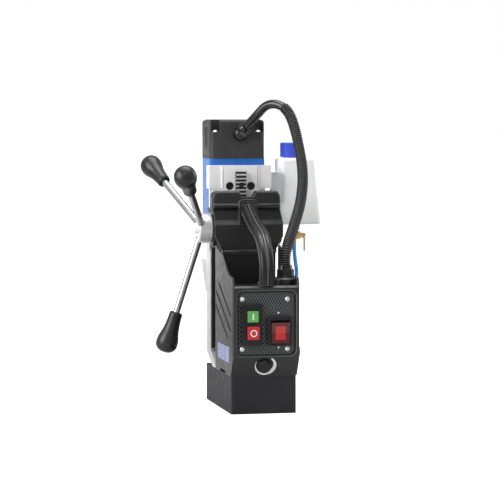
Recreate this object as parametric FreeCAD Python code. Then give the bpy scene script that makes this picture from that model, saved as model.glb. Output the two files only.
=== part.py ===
import FreeCAD, Part
import math
import os

# Magnetic drill press, millimetres.
# Origin: centre of the magnet foot.  +X operator's right, +Y away from the operator, +Z up.

V = FreeCAD.Vector
X_AXIS = V(1, 0, 0)
Y_AXIS = V(0, 1, 0)
Z_AXIS = V(0, 0, 1)

# ---------------------------------------------------------------- general fits
GAP = 0.4             # air gap between parts on different joints
RUN = 0.05            # radial running clearance in bearings and bushes
OVERLAP = 0.5         # how far a cutting tool passes a face

# ---------------------------------------------------------------- magnet foot
MAG_HALF_X = 40.0
MAG_HALF_Y = 80.0
MAG_H = 46.0
MAG_EDGE = 1.2
COIL_CENTRES_Y = (-38.0, 38.0)
COIL_POCKET_R = (14.0, 32.0)
COIL_POCKET_H = 34.0
COIL_R = (15.0, 31.0)
COIL_Z = (8.0, 33.0)
POTTING_Z = (0.3, 7.6)
MAG_BOLT_XY = [(-28.0, -68.0), (28.0, -68.0), (-26.0, -5.0), (26.0, -5.0)]
MAG_BOLT_R = 4.0
MAG_BOLT_HEAD_R = 6.5
MAG_BOLT_HEAD_H = 8.0
MAG_BOLT_LEN = 20.0
CABLE_HOLE_R = 4.0

# ---------------------------------------------------------------- stand housing
BOX_HALF_X = 41.0
BOX_Y = (-95.0, 14.0)
BOX_TOP = 155.5
SLOPE_Z = 71.0
CHEEK_T = 2.6
BOX_EDGE_R = 2.8
SADDLE_FLOOR = 150.0
WALL = 4.0
FLOOR_T = 5.0
NECK_HALF_X = 34.0
NECK_Y1 = 49.5
TOWER_HALF_X = 43.5
TOWER_Y = (20.0, 57.0)
TOWER_Z = (198.0, 266.0)
TOWER_TOP_REAR = 36.0
TOWER_STEP_Z = 244.0
TOWER_R = 8.0
TOWER_CROWN = 4.0
BEAD_R = 3.4
BEAD_YZ = (21.6, 247.0)
BOSS_R = 21.0
BOSS_X = (-41.0, 45.8)
HEAD_PROFILE = [(57.0, 190.0), (16.5, 190.0), (16.5, 223.5), (21.0, 230.0), (25.0, 244.5), (57.0, 244.5)]
HEAD_OUTLINE = [(-43.4, 245.0), (-41.0, 238.0), (-41.0, 210.5), (-32.0, 193.5), (-32.0, 185.0),
                (37.2, 185.0), (37.2, 194.5), (45.8, 209.8), (45.8, 229.0), (43.4, 243.0), (43.4, 245.0)]
HEAD_EDGE_R = 3.0
FLANGE_HALF_X = 40.2
FLANGE_Y0 = 44.0
FLANGE_Z = (68.0, 194.0)
NECK_Y0 = 8.0
NECK_LEDGE_Z = 192.5
NECK_LIP = (4.5, 189.0)
RACK_NOTCH = [(-9.0, 275.0), (-8.5, 258.5), (9.0, 258.5), (13.5, 266.5), (13.8, 275.0)]
GLAND_BOSS_R = 14.0
GLAND_BOSS_Z = (149.0, 164.0)
CHEEK_PROFILE = [(-80.0, MAG_H), (-95.0, SLOPE_Z), (-95.0, 153.0), (-89.0, 165.0), (-61.0, 168.0),
                 (-42.0, 177.0), (-18.0, 191.0), (14.0, 199.0), (14.0, MAG_H)]
SLOT_PAIRS = [((-9.0, 154.0), (-80.0, 120.0)), ((8.0, 143.0), (-81.0, 101.5)),
              ((10.0, 125.5), (-62.0, 92.0))]
SLOT_W = 4.6
SLOT_DEPTH = 2.2
SLOT_LIP = 1.8
LABEL_Y = (-76.0, 2.0)
LABEL_Z = (59.0, 83.0)
LABEL_T = 0.6
STRAP_Y = (-48.0, -15.0)
STRAP_H = 4.0
STRAP_DEPTH = 5.0

# ---------------------------------------------------------------- control panel
PANEL_RECESS = (-35.5, 36.5, 71.5, 149.5)
PANEL_RECESS_R = 7.0
PANEL_Y = (-92.0, -90.0)
PANEL_PLATE = (-33.6, 34.6, 73.4, 147.6)
PANEL_PLATE_R = 5.0
PANEL_SCREWS = [(-28.8, 140.0), (26.5, 139.5), (-29.2, 79.8), (26.6, 79.6)]
PANEL_SCREW_R = 3.1
PANEL_SCREW_H = 2.0
PANEL_SHANK_R = 1.5
PANEL_SCREW_LEN = 9.0
SWITCH = (-30.8, -5.1, 84.0, 134.2)
SWITCH_FRONT = -97.0
SWITCH_BACK = -62.0
START_BTN = (-23.4, -9.9, 112.2, 125.7)
START_FRONT = -97.6
STOP_BTN = (-23.9, -9.6, 91.6, 107.4)
STOP_FRONT = -101.6
BTN_BACK = -88.0
BTN_TRAVEL = 3.0
ROCKER_FRAME = (0.6, 30.8, 83.8, 119.2)
ROCKER_FRAME_FRONT = -95.6
ROCKER_BACK = -70.0
ROCKER = (5.9, 28.1, 85.9, 113.6)
ROCKER_FRONT = -98.2
ROCKER_TILT = 9.0
ROCKER_PIVOT_Y = -88.0
KNOB_CENTRE = (-1.5, 59.3)
KNOB_R = 8.6
KNOB_H = 4.0
KNOB_SKIRT = 1.2
POT_R = 8.0
POT_H = 10.0
POT_SHAFT_R = 3.0
SCALE_R = (10.8, 13.2)
SCALE_AT = (0.5, 59.0)
SCALE_HOLE_AT = (-0.9, 60.6)
SCALE_T = 0.5
MARK_XZ = [(15.4, 122.9), (15.4, 81.4)]
BOARD = (-34.0, 34.0, 60.0, 140.0)
BOARD_Y = (-46.0, -44.4)

# ---------------------------------------------------------------- handle
HANDLE_X = 1.2
HANDLE_W = 17.0
HANDLE_T = 14.0
HANDLE_EDGE = 4.0
HANDLE_GROOVE = 1.1
HANDLE_PATH = [(26.0, 246.0), (-4.0, 232.0), (-36.0, 220.5), (-68.0, 209.5), (-86.0, 192.0), (-87.0, 154.0)]
HANDLE_SCREWS_TOP = [(HANDLE_X - 4.2, 228.5), (HANDLE_X + 4.2, 228.5)]
HANDLE_SCREW_R = 1.6
HANDLE_PAD_Y = (17.7, 23.2)
HANDLE_PAD_Z = (224.5, 252.6)
HANDLE_PAD_HALF_X = 8.6
SOCKET_Y = 17.0
SOCKET_TOP = 255.5

# ---------------------------------------------------------------- guide and feed
FEED_Y = 40.0
FEED_Z = 219.0
RACK_MODULE = 1.5
PINION_TEETH = 16
PINION_R = RACK_MODULE * PINION_TEETH / 2.0
PINION_HALF_W = 6.5
SHAFT_R = 8.0
PRESSURE = math.radians(20.0)
RACK_PITCH_Y = FEED_Y + PINION_R
RACK_Z = (150.0, 289.0)
RACK_HALF_X = 6.5
GUIDE_HALF_X = 40.0
GUIDE_Y = (50.0, 77.0)
GUIDE_TOP = 214.0
RACK_SLOT_Z = 94.0
GUIDE_PROFILE = [(50.0, GUIDE_TOP), (77.0, GUIDE_TOP), (77.0, 62.0), (40.0, MAG_H), (18.0, MAG_H),
                 (50.0, 66.0)]
SLIDE_Y = (58.0, 77.6)
DOVE_REAR = 24.0
DOVE_FRONT = 18.0
SLIDE_Z = (98.0, 297.0)
HEAD_Z = 268.0
PLATE_Y = (77.6, 82.0)
PLATE_HALF_X = 36.0
GIB_T = 2.4
SLIDE_BORE_X = 13.5
SLIDE_BORE_Z = 271.0
SLIDE_BORE_R = 5.2
SLIDE_HEAD_R = 4.7
HEAD_LINE_X = 21.7
GIB_SCREW_Y = 68.0
GIB_SCREW_Z = (84.0, 116.0, 148.0, 188.0)
FRAME_BOLTS = [(-27.0, 90.0), (27.0, 90.0), (-27.0, 180.0), (27.0, 180.0)]
SLIDE_SCREW_Z = (SLIDE_BORE_Z, 120.0)
RACK_SCREW_Z = (272.0, 165.0)
RACK_SCREW_SEAT_Y = 56.5

# ---------------------------------------------------------------- capstan
HUB_R = 18.5
HUB_X = (-59.2, -41.4)
SPOKE_ANGLES = (32.0, 152.0, 272.0)
SPOKE_LEAN = 17.4
SPOKE_R = 4.3
SPOKE_FROM = 8.0
SPOKE_TO = 120.0
SPOKE_START_X = -52.0
KNOB_START = 110.0
KNOB_LEN = 52.0
GRIP_PROFILE = [(0.0, 7.2), (2.0, 8.3), (14.0, 9.0), (26.0, 11.0), (34.0, 13.2), (40.0, 13.8),
                (46.0, 12.6), (50.0, 9.0), (KNOB_LEN, 0.0)]

# ---------------------------------------------------------------- motor and gearbox
AXIS_Y = 106.0
MOTOR_HALF_X = 35.5
MOTOR_Y = (77.6, 136.0)
MOTOR_Z = (200.0, 305.5)
MOTOR_R = 9.0
MOTOR_WALL = 3.0
CAP_TOP = 354.8
CAP_HALF_X = 35.5
CAP_Y = (77.0, 135.2)
CAP_R = 6.5
CAP_WALL = 2.6
POCKET_X = (22.5, 33.5)
POCKET_DEPTH = 11.5
POCKET_Z = 339.0
CAP_GLAND = V(3.0, 77.0, 337.0)
CAP_GLAND_AXIS = V(0.434, -0.671, 0.600)
CAP_GLAND_LEN = 15.0
GEARBOX_SCREWS = [(-30.0, 93.0), (30.0, 93.0), (-30.0, 131.0), (31.5, 104.0)]
CAP_SCREW_XY = [(-28.0, 83.4), (28.0, 83.4), (-28.0, 128.8), (28.0, 128.8)]
STATOR_R = (16.6, 23.0)
STATOR_Z = (222.0, 282.0)
ARMATURE_R = 16.0
ARMATURE_Z = (226.0, 278.0)
COMMUTATOR_R = 12.0
COMMUTATOR_Z = (290.0, 306.0)
ARM_SHAFT_R = 4.5
BRUSH_W = 7.0
GEAR_M = 0.8
GEAR_ADD = 0.85
GEAR_DED = 1.15
GEAR_LASH = 0.12
TRAIN = {"pinion": 10, "wheel": 38, "lay": 12, "final": 36}
CENTRE_D = GEAR_M * (TRAIN["pinion"] + TRAIN["wheel"]) / 2.0 + 0.03
LAY_ANGLE = math.radians(38.7)
LAY_X = CENTRE_D * math.cos(LAY_ANGLE)
LAY_Y = AXIS_Y + CENTRE_D * math.sin(LAY_ANGLE)
STAGE1_Z = (180.0, 189.0)
STAGE2_Z = (160.0, 172.0)
BOX_TOP_HALF = 37.0
GEARBOX_Z = (134.0, 200.0)
GEARBOX_Y = (78.0, 138.5)
NOSE_R = 26.0
NOSE_Z = 112.0
ARBOR_R = 19.0
ARBOR_Z = (57.0, 111.0)
WELDON_R = 9.53
WELDON_DEPTH = 34.0
SPINDLE_R = 10.0
LAY_SHAFT_R = 4.0

# ---------------------------------------------------------------- coolant
TANK_X = (54.0, 109.0, 99.5)
BRACKET_ARM_X = 55.5
TANK_Y = (70.0, 108.0)
TANK_Z = (221.0, 306.0)
TANK_R = 7.0
TANK_WALL = 2.2
CAP_CENTRE = (72.0, 89.0)
NECK_R = 10.0
NECK_TOP = 319.0
TANK_CAP_R = 13.8
TANK_CAP_Z = (307.0, 325.5)
VALVE_Y = 80.0
VALVE_Z = 207.0
VALVE_X = (63.0, 86.0)
VALVE_R = 3.6
INLET_X = 77.0
OUTLET_X = 74.5
LEVER_X = 88.0
HOSE_R = 2.5
HOSE_PATH = [(74.5, 80.0, 197.0), (74.5, 80.0, 182.0), (80.0, 82.0, 153.0), (71.0, 93.0, 129.0),
             (54.0, 106.0, 120.0), (40.0, 106.0, 120.0)]

# ---------------------------------------------------------------- motor lead
CONDUIT_R = 6.8
SLEEVE_R = 5.8
LEAD_PATH = [(29.5, -68.0, 179.0), (29.5, -68.0, 193.0), (34.5, -62.5, 207.0), (45.0, -49.0, 227.0),
             (58.0, -30.0, 255.0), (65.0, -12.0, 291.0), (60.0, 6.0, 338.0), (53.4, 17.4, 364.7)]
LEAD_SPLIT = (47.85, 23.35, 369.55)
SLEEVE_ARCH = [(42.3, 29.3, 374.4), (29.5, 43.1, 373.4)]
SLEEVE_LAST_RUN = 21.0
BOX_GLAND = (29.5, -68.0)


# ================================================================ helpers
def box(x0, x1, y0, y1, z0, z1):
    return Part.makeBox(x1 - x0, y1 - y0, z1 - z0, V(x0, y0, z0))


def cyl(point, axis, radius, length):
    return Part.makeCylinder(radius, length, V(*point), axis)


def ring(point, axis, radii, length):
    return cyl(point, axis, radii[1], length).cut(cyl(point, axis, radii[0], length))


def fuse(shapes):
    result = shapes[0]
    for shape in shapes[1:]:
        result = result.fuse(shape)
    return result.removeSplitter()


def cut(shape, tools):
    for tool in tools:
        shape = shape.cut(tool)
    return shape


def prism_yz(points, x0, x1):
    wire = Part.makePolygon([V(x0, y, z) for y, z in points + points[:1]])
    return Part.Face(wire).extrude(V(x1 - x0, 0, 0))


def prism_xz(points, y0, y1):
    wire = Part.makePolygon([V(x, y0, z) for x, z in points + points[:1]])
    return Part.Face(wire).extrude(V(0, y1 - y0, 0))


def prism_xy(points, z0, z1):
    wire = Part.makePolygon([V(x, y, z0) for x, y in points + points[:1]])
    return Part.Face(wire).extrude(V(0, 0, z1 - z0))


def edges_along(shape, axis):
    picked = []
    for edge in shape.Edges:
        if isinstance(edge.Curve, Part.Line):
            direction = edge.tangentAt(edge.FirstParameter)
            if abs(direction.dot(axis)) > 0.999:
                picked.append(edge)
    return picked


def rounded(shape, axis, radius):
    return shape.makeFillet(radius, edges_along(shape, axis))


def round_box(x0, x1, y0, y1, z0, z1, radius, axis=Z_AXIS):
    return rounded(box(x0, x1, y0, y1, z0, z1), axis, radius)


def soften_at(shape, radius, test):
    picked = [edge for edge in shape.Edges if test(edge.CenterOfMass, edge)]
    return shape.makeFillet(radius, picked)


def hexagon(point, axis, across_flats, length):
    radius = across_flats / math.sqrt(3.0)
    corners = [V(radius * math.cos(math.radians(60 * i)), radius * math.sin(math.radians(60 * i)), 0)
               for i in range(7)]
    prism = Part.Face(Part.makePolygon(corners)).extrude(V(0, 0, length))
    prism.Placement = FreeCAD.Placement(V(*point), FreeCAD.Rotation(Z_AXIS, axis))
    return prism


def socket_screw(point, axis, head_r, head_h, shank_r, shank_len):
    """Cap screw: point is under the head, axis points out of the head."""
    origin = V(*point)
    head = Part.makeCylinder(head_r, head_h, origin, axis)
    head = head.makeChamfer(head_r * 0.12, [head.Edges[0]])
    shank = Part.makeCylinder(shank_r, shank_len, origin - axis * shank_len, axis)
    socket = hexagon(tuple(origin + axis * (head_h * 0.45)), axis, head_r * 1.0, head_h)
    return head.fuse(shank).cut(socket)


def pan_screw(point, axis, head_r, head_h, shank_r, shank_len):
    """Domed cross-recess screw."""
    origin = V(*point)
    sphere_r = (head_r * head_r + head_h * head_h) / (2.0 * head_h)
    dome = Part.makeSphere(sphere_r, origin + axis * (head_h - sphere_r))
    head = dome.common(Part.makeCylinder(head_r, head_h + OVERLAP, origin, axis))
    shank = Part.makeCylinder(shank_r, shank_len, origin - axis * shank_len, axis)
    side = V(0, 0, 1) if abs(axis.z) < 0.5 else V(1, 0, 0)
    other = axis.cross(side)
    body = head.fuse(shank)
    for arm in (side, other):
        across = axis.cross(arm)
        low = origin + axis * (head_h * 0.35) - arm * (head_r * 0.6) - across * (head_r * 0.12)
        corners = [low, low + arm * (head_r * 1.2), low + arm * (head_r * 1.2) + across * (head_r * 0.24),
                   low + across * (head_r * 0.24), low]
        body = body.cut(Part.Face(Part.makePolygon(corners)).extrude(axis * (head_h * 2.0)))
    return body


def involute(angle):
    return math.tan(angle) - angle


def gear(teeth, module, z0, z1, centre, tooth_at, addendum=GEAR_ADD, dedendum=GEAR_DED, lash=GEAR_LASH):
    """Spur gear on a Z axis with one tooth centred on the direction tooth_at (radians)."""
    pitch_r = module * teeth / 2.0
    base_r = pitch_r * math.cos(PRESSURE)
    tip_r = pitch_r + addendum * module
    root_r = pitch_r - dedendum * module
    half_pitch = math.pi / (2.0 * teeth) - lash / (2.0 * pitch_r)
    steps = 5
    start_r = max(base_r, root_r) + 1e-4
    flank = []
    for i in range(steps + 1):
        radius = start_r + (tip_r - start_r) * i / steps
        pressure = math.acos(min(1.0, base_r / radius))
        flank.append((radius, half_pitch + involute(PRESSURE) - involute(pressure)))
    points = []
    for k in range(teeth):
        middle = tooth_at + 2.0 * math.pi * k / teeth
        points.append((root_r, middle - flank[0][1]))
        points += [(radius, middle - half) for radius, half in flank]
        points += [(radius, middle + half) for radius, half in reversed(flank)]
        points.append((root_r, middle + flank[0][1]))
    outline = [(centre[0] + r * math.cos(a), centre[1] + r * math.sin(a)) for r, a in points]
    return prism_xy(outline, z0, z1)


def tube_wire(points):
    """Straight runs joined by tangent arcs through the given corner points."""
    corners = [V(*p) for p in points]
    edges = []
    last = corners[0]
    for before, corner, after in zip(corners, corners[1:], corners[2:]):
        inward = (corner - before)
        outward = (after - corner)
        shorter = min(inward.Length, outward.Length)
        inward.normalize()
        outward.normalize()
        reach = 0.45 * shorter
        first = corner - inward * reach
        second = corner + outward * reach
        bisector = (outward - inward)
        bisector.normalize()
        half_turn = inward.getAngle(outward) / 2.0
        radius = reach / math.tan(half_turn)
        middle = corner + bisector * (radius / math.cos(half_turn) - radius)
        edges.append(Part.LineSegment(last, first).toShape())
        edges.append(Part.Arc(first, middle, second).toShape())
        print("bend radius %.1f mm" % radius)
        last = second
    edges.append(Part.LineSegment(last, corners[-1]).toShape())
    return Part.Wire(edges)


def swept_tube(points, radius):
    wire = tube_wire(points)
    direction = V(*points[1]) - V(*points[0])
    section = Part.Wire([Part.makeCircle(radius, V(*points[0]), direction)])
    solid = wire.makePipeShell([section], True, False)
    full = math.pi * radius ** 2 * wire.Length
    print("length %.1f volume ratio %.4f" % (wire.Length, solid.Volume / full))
    return solid


def save(name, shapes):
    shape = shapes if isinstance(shapes, Part.Shape) else Part.makeCompound(shapes)
    if not shape.isValid():
        print("INVALID", name)
    shape.exportStep("parts/%s.step" % name)
    print("%-22s solids %d" % (name, len(shape.Solids)))


# ================================================================ magnet foot
def magnet_block():
    body = box(-MAG_HALF_X, MAG_HALF_X, -MAG_HALF_Y, MAG_HALF_Y, 0, MAG_H)
    body = body.makeChamfer(MAG_EDGE, edges_along(body, Z_AXIS))
    pockets = [ring((0, y, -OVERLAP), Z_AXIS, COIL_POCKET_R, COIL_POCKET_H + OVERLAP)
               for y in COIL_CENTRES_Y]
    holes = [cyl((x, y, MAG_H - MAG_BOLT_LEN), Z_AXIS, MAG_BOLT_R, MAG_BOLT_LEN + OVERLAP)
             for x, y in MAG_BOLT_XY]
    holes.append(cyl((0, -38.0 + 23.0, COIL_POCKET_H - 6.0), Z_AXIS, CABLE_HOLE_R, MAG_H))
    wall = 38.0 - 23.0
    holes.append(cyl((0, -wall, COIL_POCKET_H - 4.0), Y_AXIS, 2.5, 2.0 * wall))
    return cut(body, pockets + holes)


def magnet_coils():
    return [ring((0, y, COIL_Z[0]), Z_AXIS, COIL_R, COIL_Z[1] - COIL_Z[0]) for y in COIL_CENTRES_Y]


def magnet_potting():
    return [ring((0, y, POTTING_Z[0]), Z_AXIS, COIL_POCKET_R, POTTING_Z[1] - POTTING_Z[0])
            for y in COIL_CENTRES_Y]


def magnet_bolts():
    under_head = MAG_H + FLOOR_T
    return [socket_screw((x, y, under_head), Z_AXIS, MAG_BOLT_HEAD_R, MAG_BOLT_HEAD_H, MAG_BOLT_R,
                         MAG_BOLT_LEN + FLOOR_T - 2.0) for x, y in MAG_BOLT_XY]


# ================================================================ stand housing
def slot_tool(start, end, x_face, inward):
    """Round-ended groove between two (y, z) points on a side face."""
    dy = end[0] - start[0]
    dz = end[1] - start[1]
    length = math.hypot(dy, dz)
    normal = (-dz / length, dy / length)
    wires = []
    half = SLOT_W / 2.0
    for x, low_side in ((x_face - inward * OVERLAP, half + SLOT_LIP), (x_face + inward * SLOT_DEPTH, half)):
        corners = [V(x, y + normal[0] * w, z + normal[1] * w) for (y, z), w in
                   ((start, low_side), (end, low_side), (end, -half), (start, -half))]
        wires.append(Part.makePolygon(corners + corners[:1]))
    bar = Part.makeLoft(wires, True, True)
    tips = [cyl((x_face - inward * OVERLAP, y, z), X_AXIS * inward, SLOT_W / 2.0, SLOT_DEPTH + OVERLAP)
            for y, z in (start, end)]
    return bar.fuse(tips[0]).fuse(tips[1])


def housing_outer():
    low = [(-80.0, MAG_H), (-95.0, SLOPE_Z), (-95.0, BOX_TOP - 2.0), (-92.0, BOX_TOP), (-84.0, BOX_TOP),
           (-78.0, SADDLE_FLOOR), (14.0, SADDLE_FLOOR), (14.0, MAG_H)]
    body = prism_yz(low, -BOX_HALF_X, BOX_HALF_X)
    cheeks = [prism_yz(CHEEK_PROFILE, side * BOX_HALF_X, side * (BOX_HALF_X - CHEEK_T)) for side in (-1, 1)]
    neck = box(-NECK_HALF_X, NECK_HALF_X, NECK_Y0, NECK_Y1, MAG_H, NECK_LEDGE_Z)
    lip = box(-NECK_HALF_X, NECK_HALF_X, NECK_LIP[0], NECK_Y0 + 2.0, NECK_LIP[1], NECK_LEDGE_Z)
    lip = soften_at(lip, 1.5, lambda c, e: abs(c.y - NECK_LIP[0]) < 0.01 and abs(c.z - NECK_LEDGE_Z) < 0.01)
    flange = box(-FLANGE_HALF_X, FLANGE_HALF_X, FLANGE_Y0, NECK_Y1, *FLANGE_Z)
    body = fuse([body] + cheeks + [neck, lip, flange] + feed_head())
    return body.fuse(gland_boss())


def feed_head():
    """Crowned top block, bead and band over the block and round boss that carry the feed shaft."""
    top = round_box(-TOWER_HALF_X, TOWER_HALF_X, TOWER_Y[0], TOWER_TOP_REAR, TOWER_STEP_Z - TOWER_R,
                    TOWER_Z[1], TOWER_R, Y_AXIS)
    top = soften_at(top, TOWER_CROWN, lambda c, e: abs(c.y - TOWER_Y[0]) < 0.01)
    top = top.common(box(-60, 60, 0, 100, TOWER_STEP_Z, 300))
    bead = cyl((-TOWER_HALF_X + 1.5, *BEAD_YZ), X_AXIS, BEAD_R, 2.0 * TOWER_HALF_X - 3.0)
    corner = HEAD_PROFILE[2]
    low = prism_yz(HEAD_PROFILE, -60.0, 60.0).common(prism_xz(HEAD_OUTLINE, 0.0, 60.0))
    low = soften_at(low, HEAD_EDGE_R, lambda c, e: math.hypot(c.y - corner[0], c.z - corner[1]) < 0.01)
    boss = cyl((BOSS_X[0], FEED_Y, FEED_Z), X_AXIS, BOSS_R, BOSS_X[1] - BOSS_X[0])
    boss = boss.common(box(-60, 60, 0, TOWER_Y[1], 150, 300))
    x0 = HANDLE_X - HANDLE_PAD_HALF_X - 3.0
    x1 = HANDLE_X + HANDLE_PAD_HALF_X + 3.0
    socket = round_box(x0, x1, SOCKET_Y, BEAD_YZ[0] + 6.0, corner[1] - 4.0, SOCKET_TOP, 5.0, Y_AXIS)
    return [top, bead, low, boss, socket]


def gland_boss():
    boss = cyl((BOX_GLAND[0], BOX_GLAND[1], GLAND_BOSS_Z[0]), Z_AXIS, GLAND_BOSS_R,
               GLAND_BOSS_Z[1] - GLAND_BOSS_Z[0])
    boss = boss.makeChamfer(2.0, [boss.Edges[0]])
    return boss.common(box(-BOX_HALF_X, BOX_HALF_X, -120, 120, 0, 400))


def soften_housing(body):
    def outer_vertical(centre, edge):
        return (abs(abs(centre.x) - BOX_HALF_X) < 0.01 and abs(centre.y + 95.0) < 0.01
                and abs(edge.tangentAt(edge.FirstParameter).z) > 0.99)
    return soften_at(body, BOX_EDGE_R, outer_vertical)


def housing_cavity():
    inner = box(-BOX_HALF_X + WALL, BOX_HALF_X - WALL, -87.0, 4.0, MAG_H + FLOOR_T, SADDLE_FLOOR - WALL)
    slope = prism_yz([(-74.0, MAG_H - 1.0), (-88.0, 68.0), (-88.0, MAG_H - 1.0)], -60, 60)
    inner = inner.cut(slope)
    duct = box(-14.0, 14.0, -30.0, -6.0, MAG_H - 1.0, MAG_H + FLOOR_T + 1.0)
    return inner, duct


def boss_end(side):
    return BOSS_X[0] if side < 0 else BOSS_X[1]


def stand_housing():
    body = soften_housing(housing_outer())
    inner, duct = housing_cavity()
    x0, x1, z0, z1 = PANEL_RECESS
    recess = round_box(x0, x1, -96.0, PANEL_Y[1], z0, z1, PANEL_RECESS_R, Y_AXIS)
    window = box(x0 + 5.0, x1 - 5.0, PANEL_Y[1] - 1.0, -80.0, z0 + 11.0, z1 - 13.0)
    tools = [inner, duct, recess, window]
    for x, z in PANEL_SCREWS:
        tools.append(cyl((x, PANEL_Y[1] - 1.0, z), Y_AXIS, PANEL_SHANK_R, PANEL_SCREW_LEN))
    rebate = 0.9
    tools.append(round_box(x0 - rebate, x1 + rebate, -96.0, -94.3, z0 - rebate, z1 + rebate,
                           PANEL_RECESS_R + rebate, Y_AXIS))
    tools.append(prism_xz(RACK_NOTCH, TOWER_Y[0] - 4.0, TOWER_Y[1] + 1.0))
    tools.append(box(-RACK_HALF_X - 1.5, RACK_HALF_X + 1.5, 49.0, 60.0, RACK_SLOT_Z, 300.0))
    pinion_room = PINION_HALF_W + 1.5
    tools.append(cyl((-pinion_room, FEED_Y, FEED_Z), X_AXIS, PINION_R + 2.2, 2.0 * pinion_room))
    tools.append(cyl((-60, FEED_Y, FEED_Z), X_AXIS, SHAFT_R + 3.0, 120))
    for side in (-1, 1):
        tools.append(cyl((boss_end(side), FEED_Y, FEED_Z), X_AXIS * -side, 14.5, 4.0))
        for start, end in SLOT_PAIRS:
            tools.append(slot_tool(start, end, side * BOX_HALF_X, -side))
        x_in = side * (BOX_HALF_X - STRAP_DEPTH)
        tools.append(box(min(x_in, side * 60), max(x_in, side * 60), *STRAP_Y, MAG_H - 1, MAG_H + STRAP_H))
    x_label = -BOX_HALF_X
    tools.append(box(x_label - 1.0, x_label + LABEL_T, LABEL_Y[0], LABEL_Y[1], LABEL_Z[0], LABEL_Z[1]))
    tools.append(pocket_for_handle())
    tools.append(cyl((BOX_GLAND[0], BOX_GLAND[1], GLAND_BOSS_Z[1]), Z_AXIS, GLAND_BOSS_R, 20.0))
    tools.append(cyl((BOX_GLAND[0], BOX_GLAND[1], 130.0), Z_AXIS, 6.0, 60.0))
    tools.append(cyl((BOX_HALF_X - 10.0, -30.0, 70.0), X_AXIS, 8.05, 20.0))
    for x, y in MAG_BOLT_XY:
        tools.append(cyl((x, y, MAG_H - 1.0), Z_AXIS, MAG_BOLT_R + 0.3, FLOOR_T + 2.0))
    tools.append(knob_bore(POT_SHAFT_R + 0.5, 30.0))
    for x, z in HANDLE_SCREWS_TOP:
        tools.append(cyl((x, HANDLE_PAD_Y[0] + 1.0, z), Y_AXIS, HANDLE_SCREW_R, 11.0))
    for x, z in FRAME_BOLTS:
        tools.append(cyl((x, 30.0, z), Y_AXIS, 3.0, 30.0))
    body = cut(body, tools)
    return body.removeSplitter()


# ---------------------------------------------------------------- sloped knob face
SLOPE_DIR = V(0, -95.0 + 80.0, SLOPE_Z - MAG_H)
SLOPE_LEN = SLOPE_DIR.Length
SLOPE_OUT = V(0, -(SLOPE_Z - MAG_H), -15.0)
SLOPE_OUT.normalize()
SLOPE_UP = SLOPE_OUT.cross(X_AXIS)


def on_slope(x, z):
    """Point on the sloped lower face at height z."""
    y = -80.0 - (z - MAG_H) * 15.0 / (SLOPE_Z - MAG_H)
    return V(x, y, z)


def knob_bore(radius, depth):
    origin = on_slope(*KNOB_CENTRE)
    return Part.makeCylinder(radius, depth + 5.0, origin + SLOPE_OUT * 5.0, SLOPE_OUT * -1.0)


def speed_knob():
    origin = on_slope(*KNOB_CENTRE) + SLOPE_OUT * (SCALE_T + 0.5)
    skirt = Part.makeCylinder(KNOB_R + 0.8, KNOB_SKIRT, origin, SLOPE_OUT)
    grip = Part.makeCone(KNOB_R, KNOB_R - 0.8, KNOB_H, origin, SLOPE_OUT)
    body = skirt.fuse(grip)
    for i in range(18):
        angle = 360.0 * i / 18
        foot = origin + SLOPE_OUT * (KNOB_SKIRT + 0.5) + V(KNOB_R + 0.2, 0, 0)
        flute = Part.makeCylinder(0.7, KNOB_H, foot, SLOPE_OUT)
        flute.rotate(origin, SLOPE_OUT, angle)
        body = body.cut(flute)
    shaft = Part.makeCylinder(POT_SHAFT_R - RUN, 21.0, origin + SLOPE_OUT, SLOPE_OUT * -1.0)
    pointer = Part.makeBox(1.0, 1.0, KNOB_R * 0.8)
    pointer.Placement = FreeCAD.Placement(V(0, 0, 0), FreeCAD.Rotation(Z_AXIS, SLOPE_UP))
    pointer.translate(origin + SLOPE_OUT * (KNOB_H - 0.4) - V(pointer.CenterOfMass.x, 0, 0))
    return body.cut(pointer).fuse(shaft)


def speed_potentiometer():
    origin = on_slope(*KNOB_CENTRE) - SLOPE_OUT * 14.0
    body = Part.makeCylinder(POT_R, POT_H, origin - SLOPE_OUT * POT_H, SLOPE_OUT)
    return body.cut(Part.makeCylinder(POT_SHAFT_R, 9.0, origin + SLOPE_OUT, SLOPE_OUT * -1.0))


def panel_marks():
    scale = Part.makeCylinder(SCALE_R[1], SCALE_T, on_slope(*SCALE_AT), SLOPE_OUT)
    hole = Part.makeCylinder(SCALE_R[0], 4.0, on_slope(*SCALE_HOLE_AT) - SLOPE_OUT * 2.0, SLOPE_OUT)
    scale = scale.cut(hole)
    gap = box(-20.0, 6.5, -110.0, -70.0, KNOB_CENTRE[1] + 5.0, KNOB_CENTRE[1] + 20.0)
    scale = scale.cut(gap)
    dots = [cyl((x, PANEL_Y[0] - SCALE_T, z), Y_AXIS, 1.1, SCALE_T) for x, z in MARK_XZ]
    return [scale] + dots


# ================================================================ control panel
def panel_plate():
    x0, x1, z0, z1 = PANEL_PLATE
    plate = round_box(x0, x1, PANEL_Y[0], PANEL_Y[1], z0, z1, PANEL_PLATE_R, Y_AXIS)
    tools = [cyl((x, PANEL_Y[0] - 1, z), Y_AXIS, PANEL_SHANK_R, 5.0) for x, z in PANEL_SCREWS]
    x0, x1, z0, z1 = SWITCH
    tools.append(box(x0 + 1.5, x1 - 1.5, -94, -88, z0 + 1.5, z1 - 1.5))
    x0, x1, z0, z1 = ROCKER_FRAME
    tools.append(box(x0 + 1.5, x1 - 1.5, -94, -88, z0 + 1.5, z1 - 1.5))
    return cut(plate, tools)


def panel_screws():
    return [pan_screw((x, PANEL_Y[0], z), Y_AXIS * -1.0, PANEL_SCREW_R, PANEL_SCREW_H, PANEL_SHANK_R,
                      PANEL_SCREW_LEN) for x, z in PANEL_SCREWS]


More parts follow.
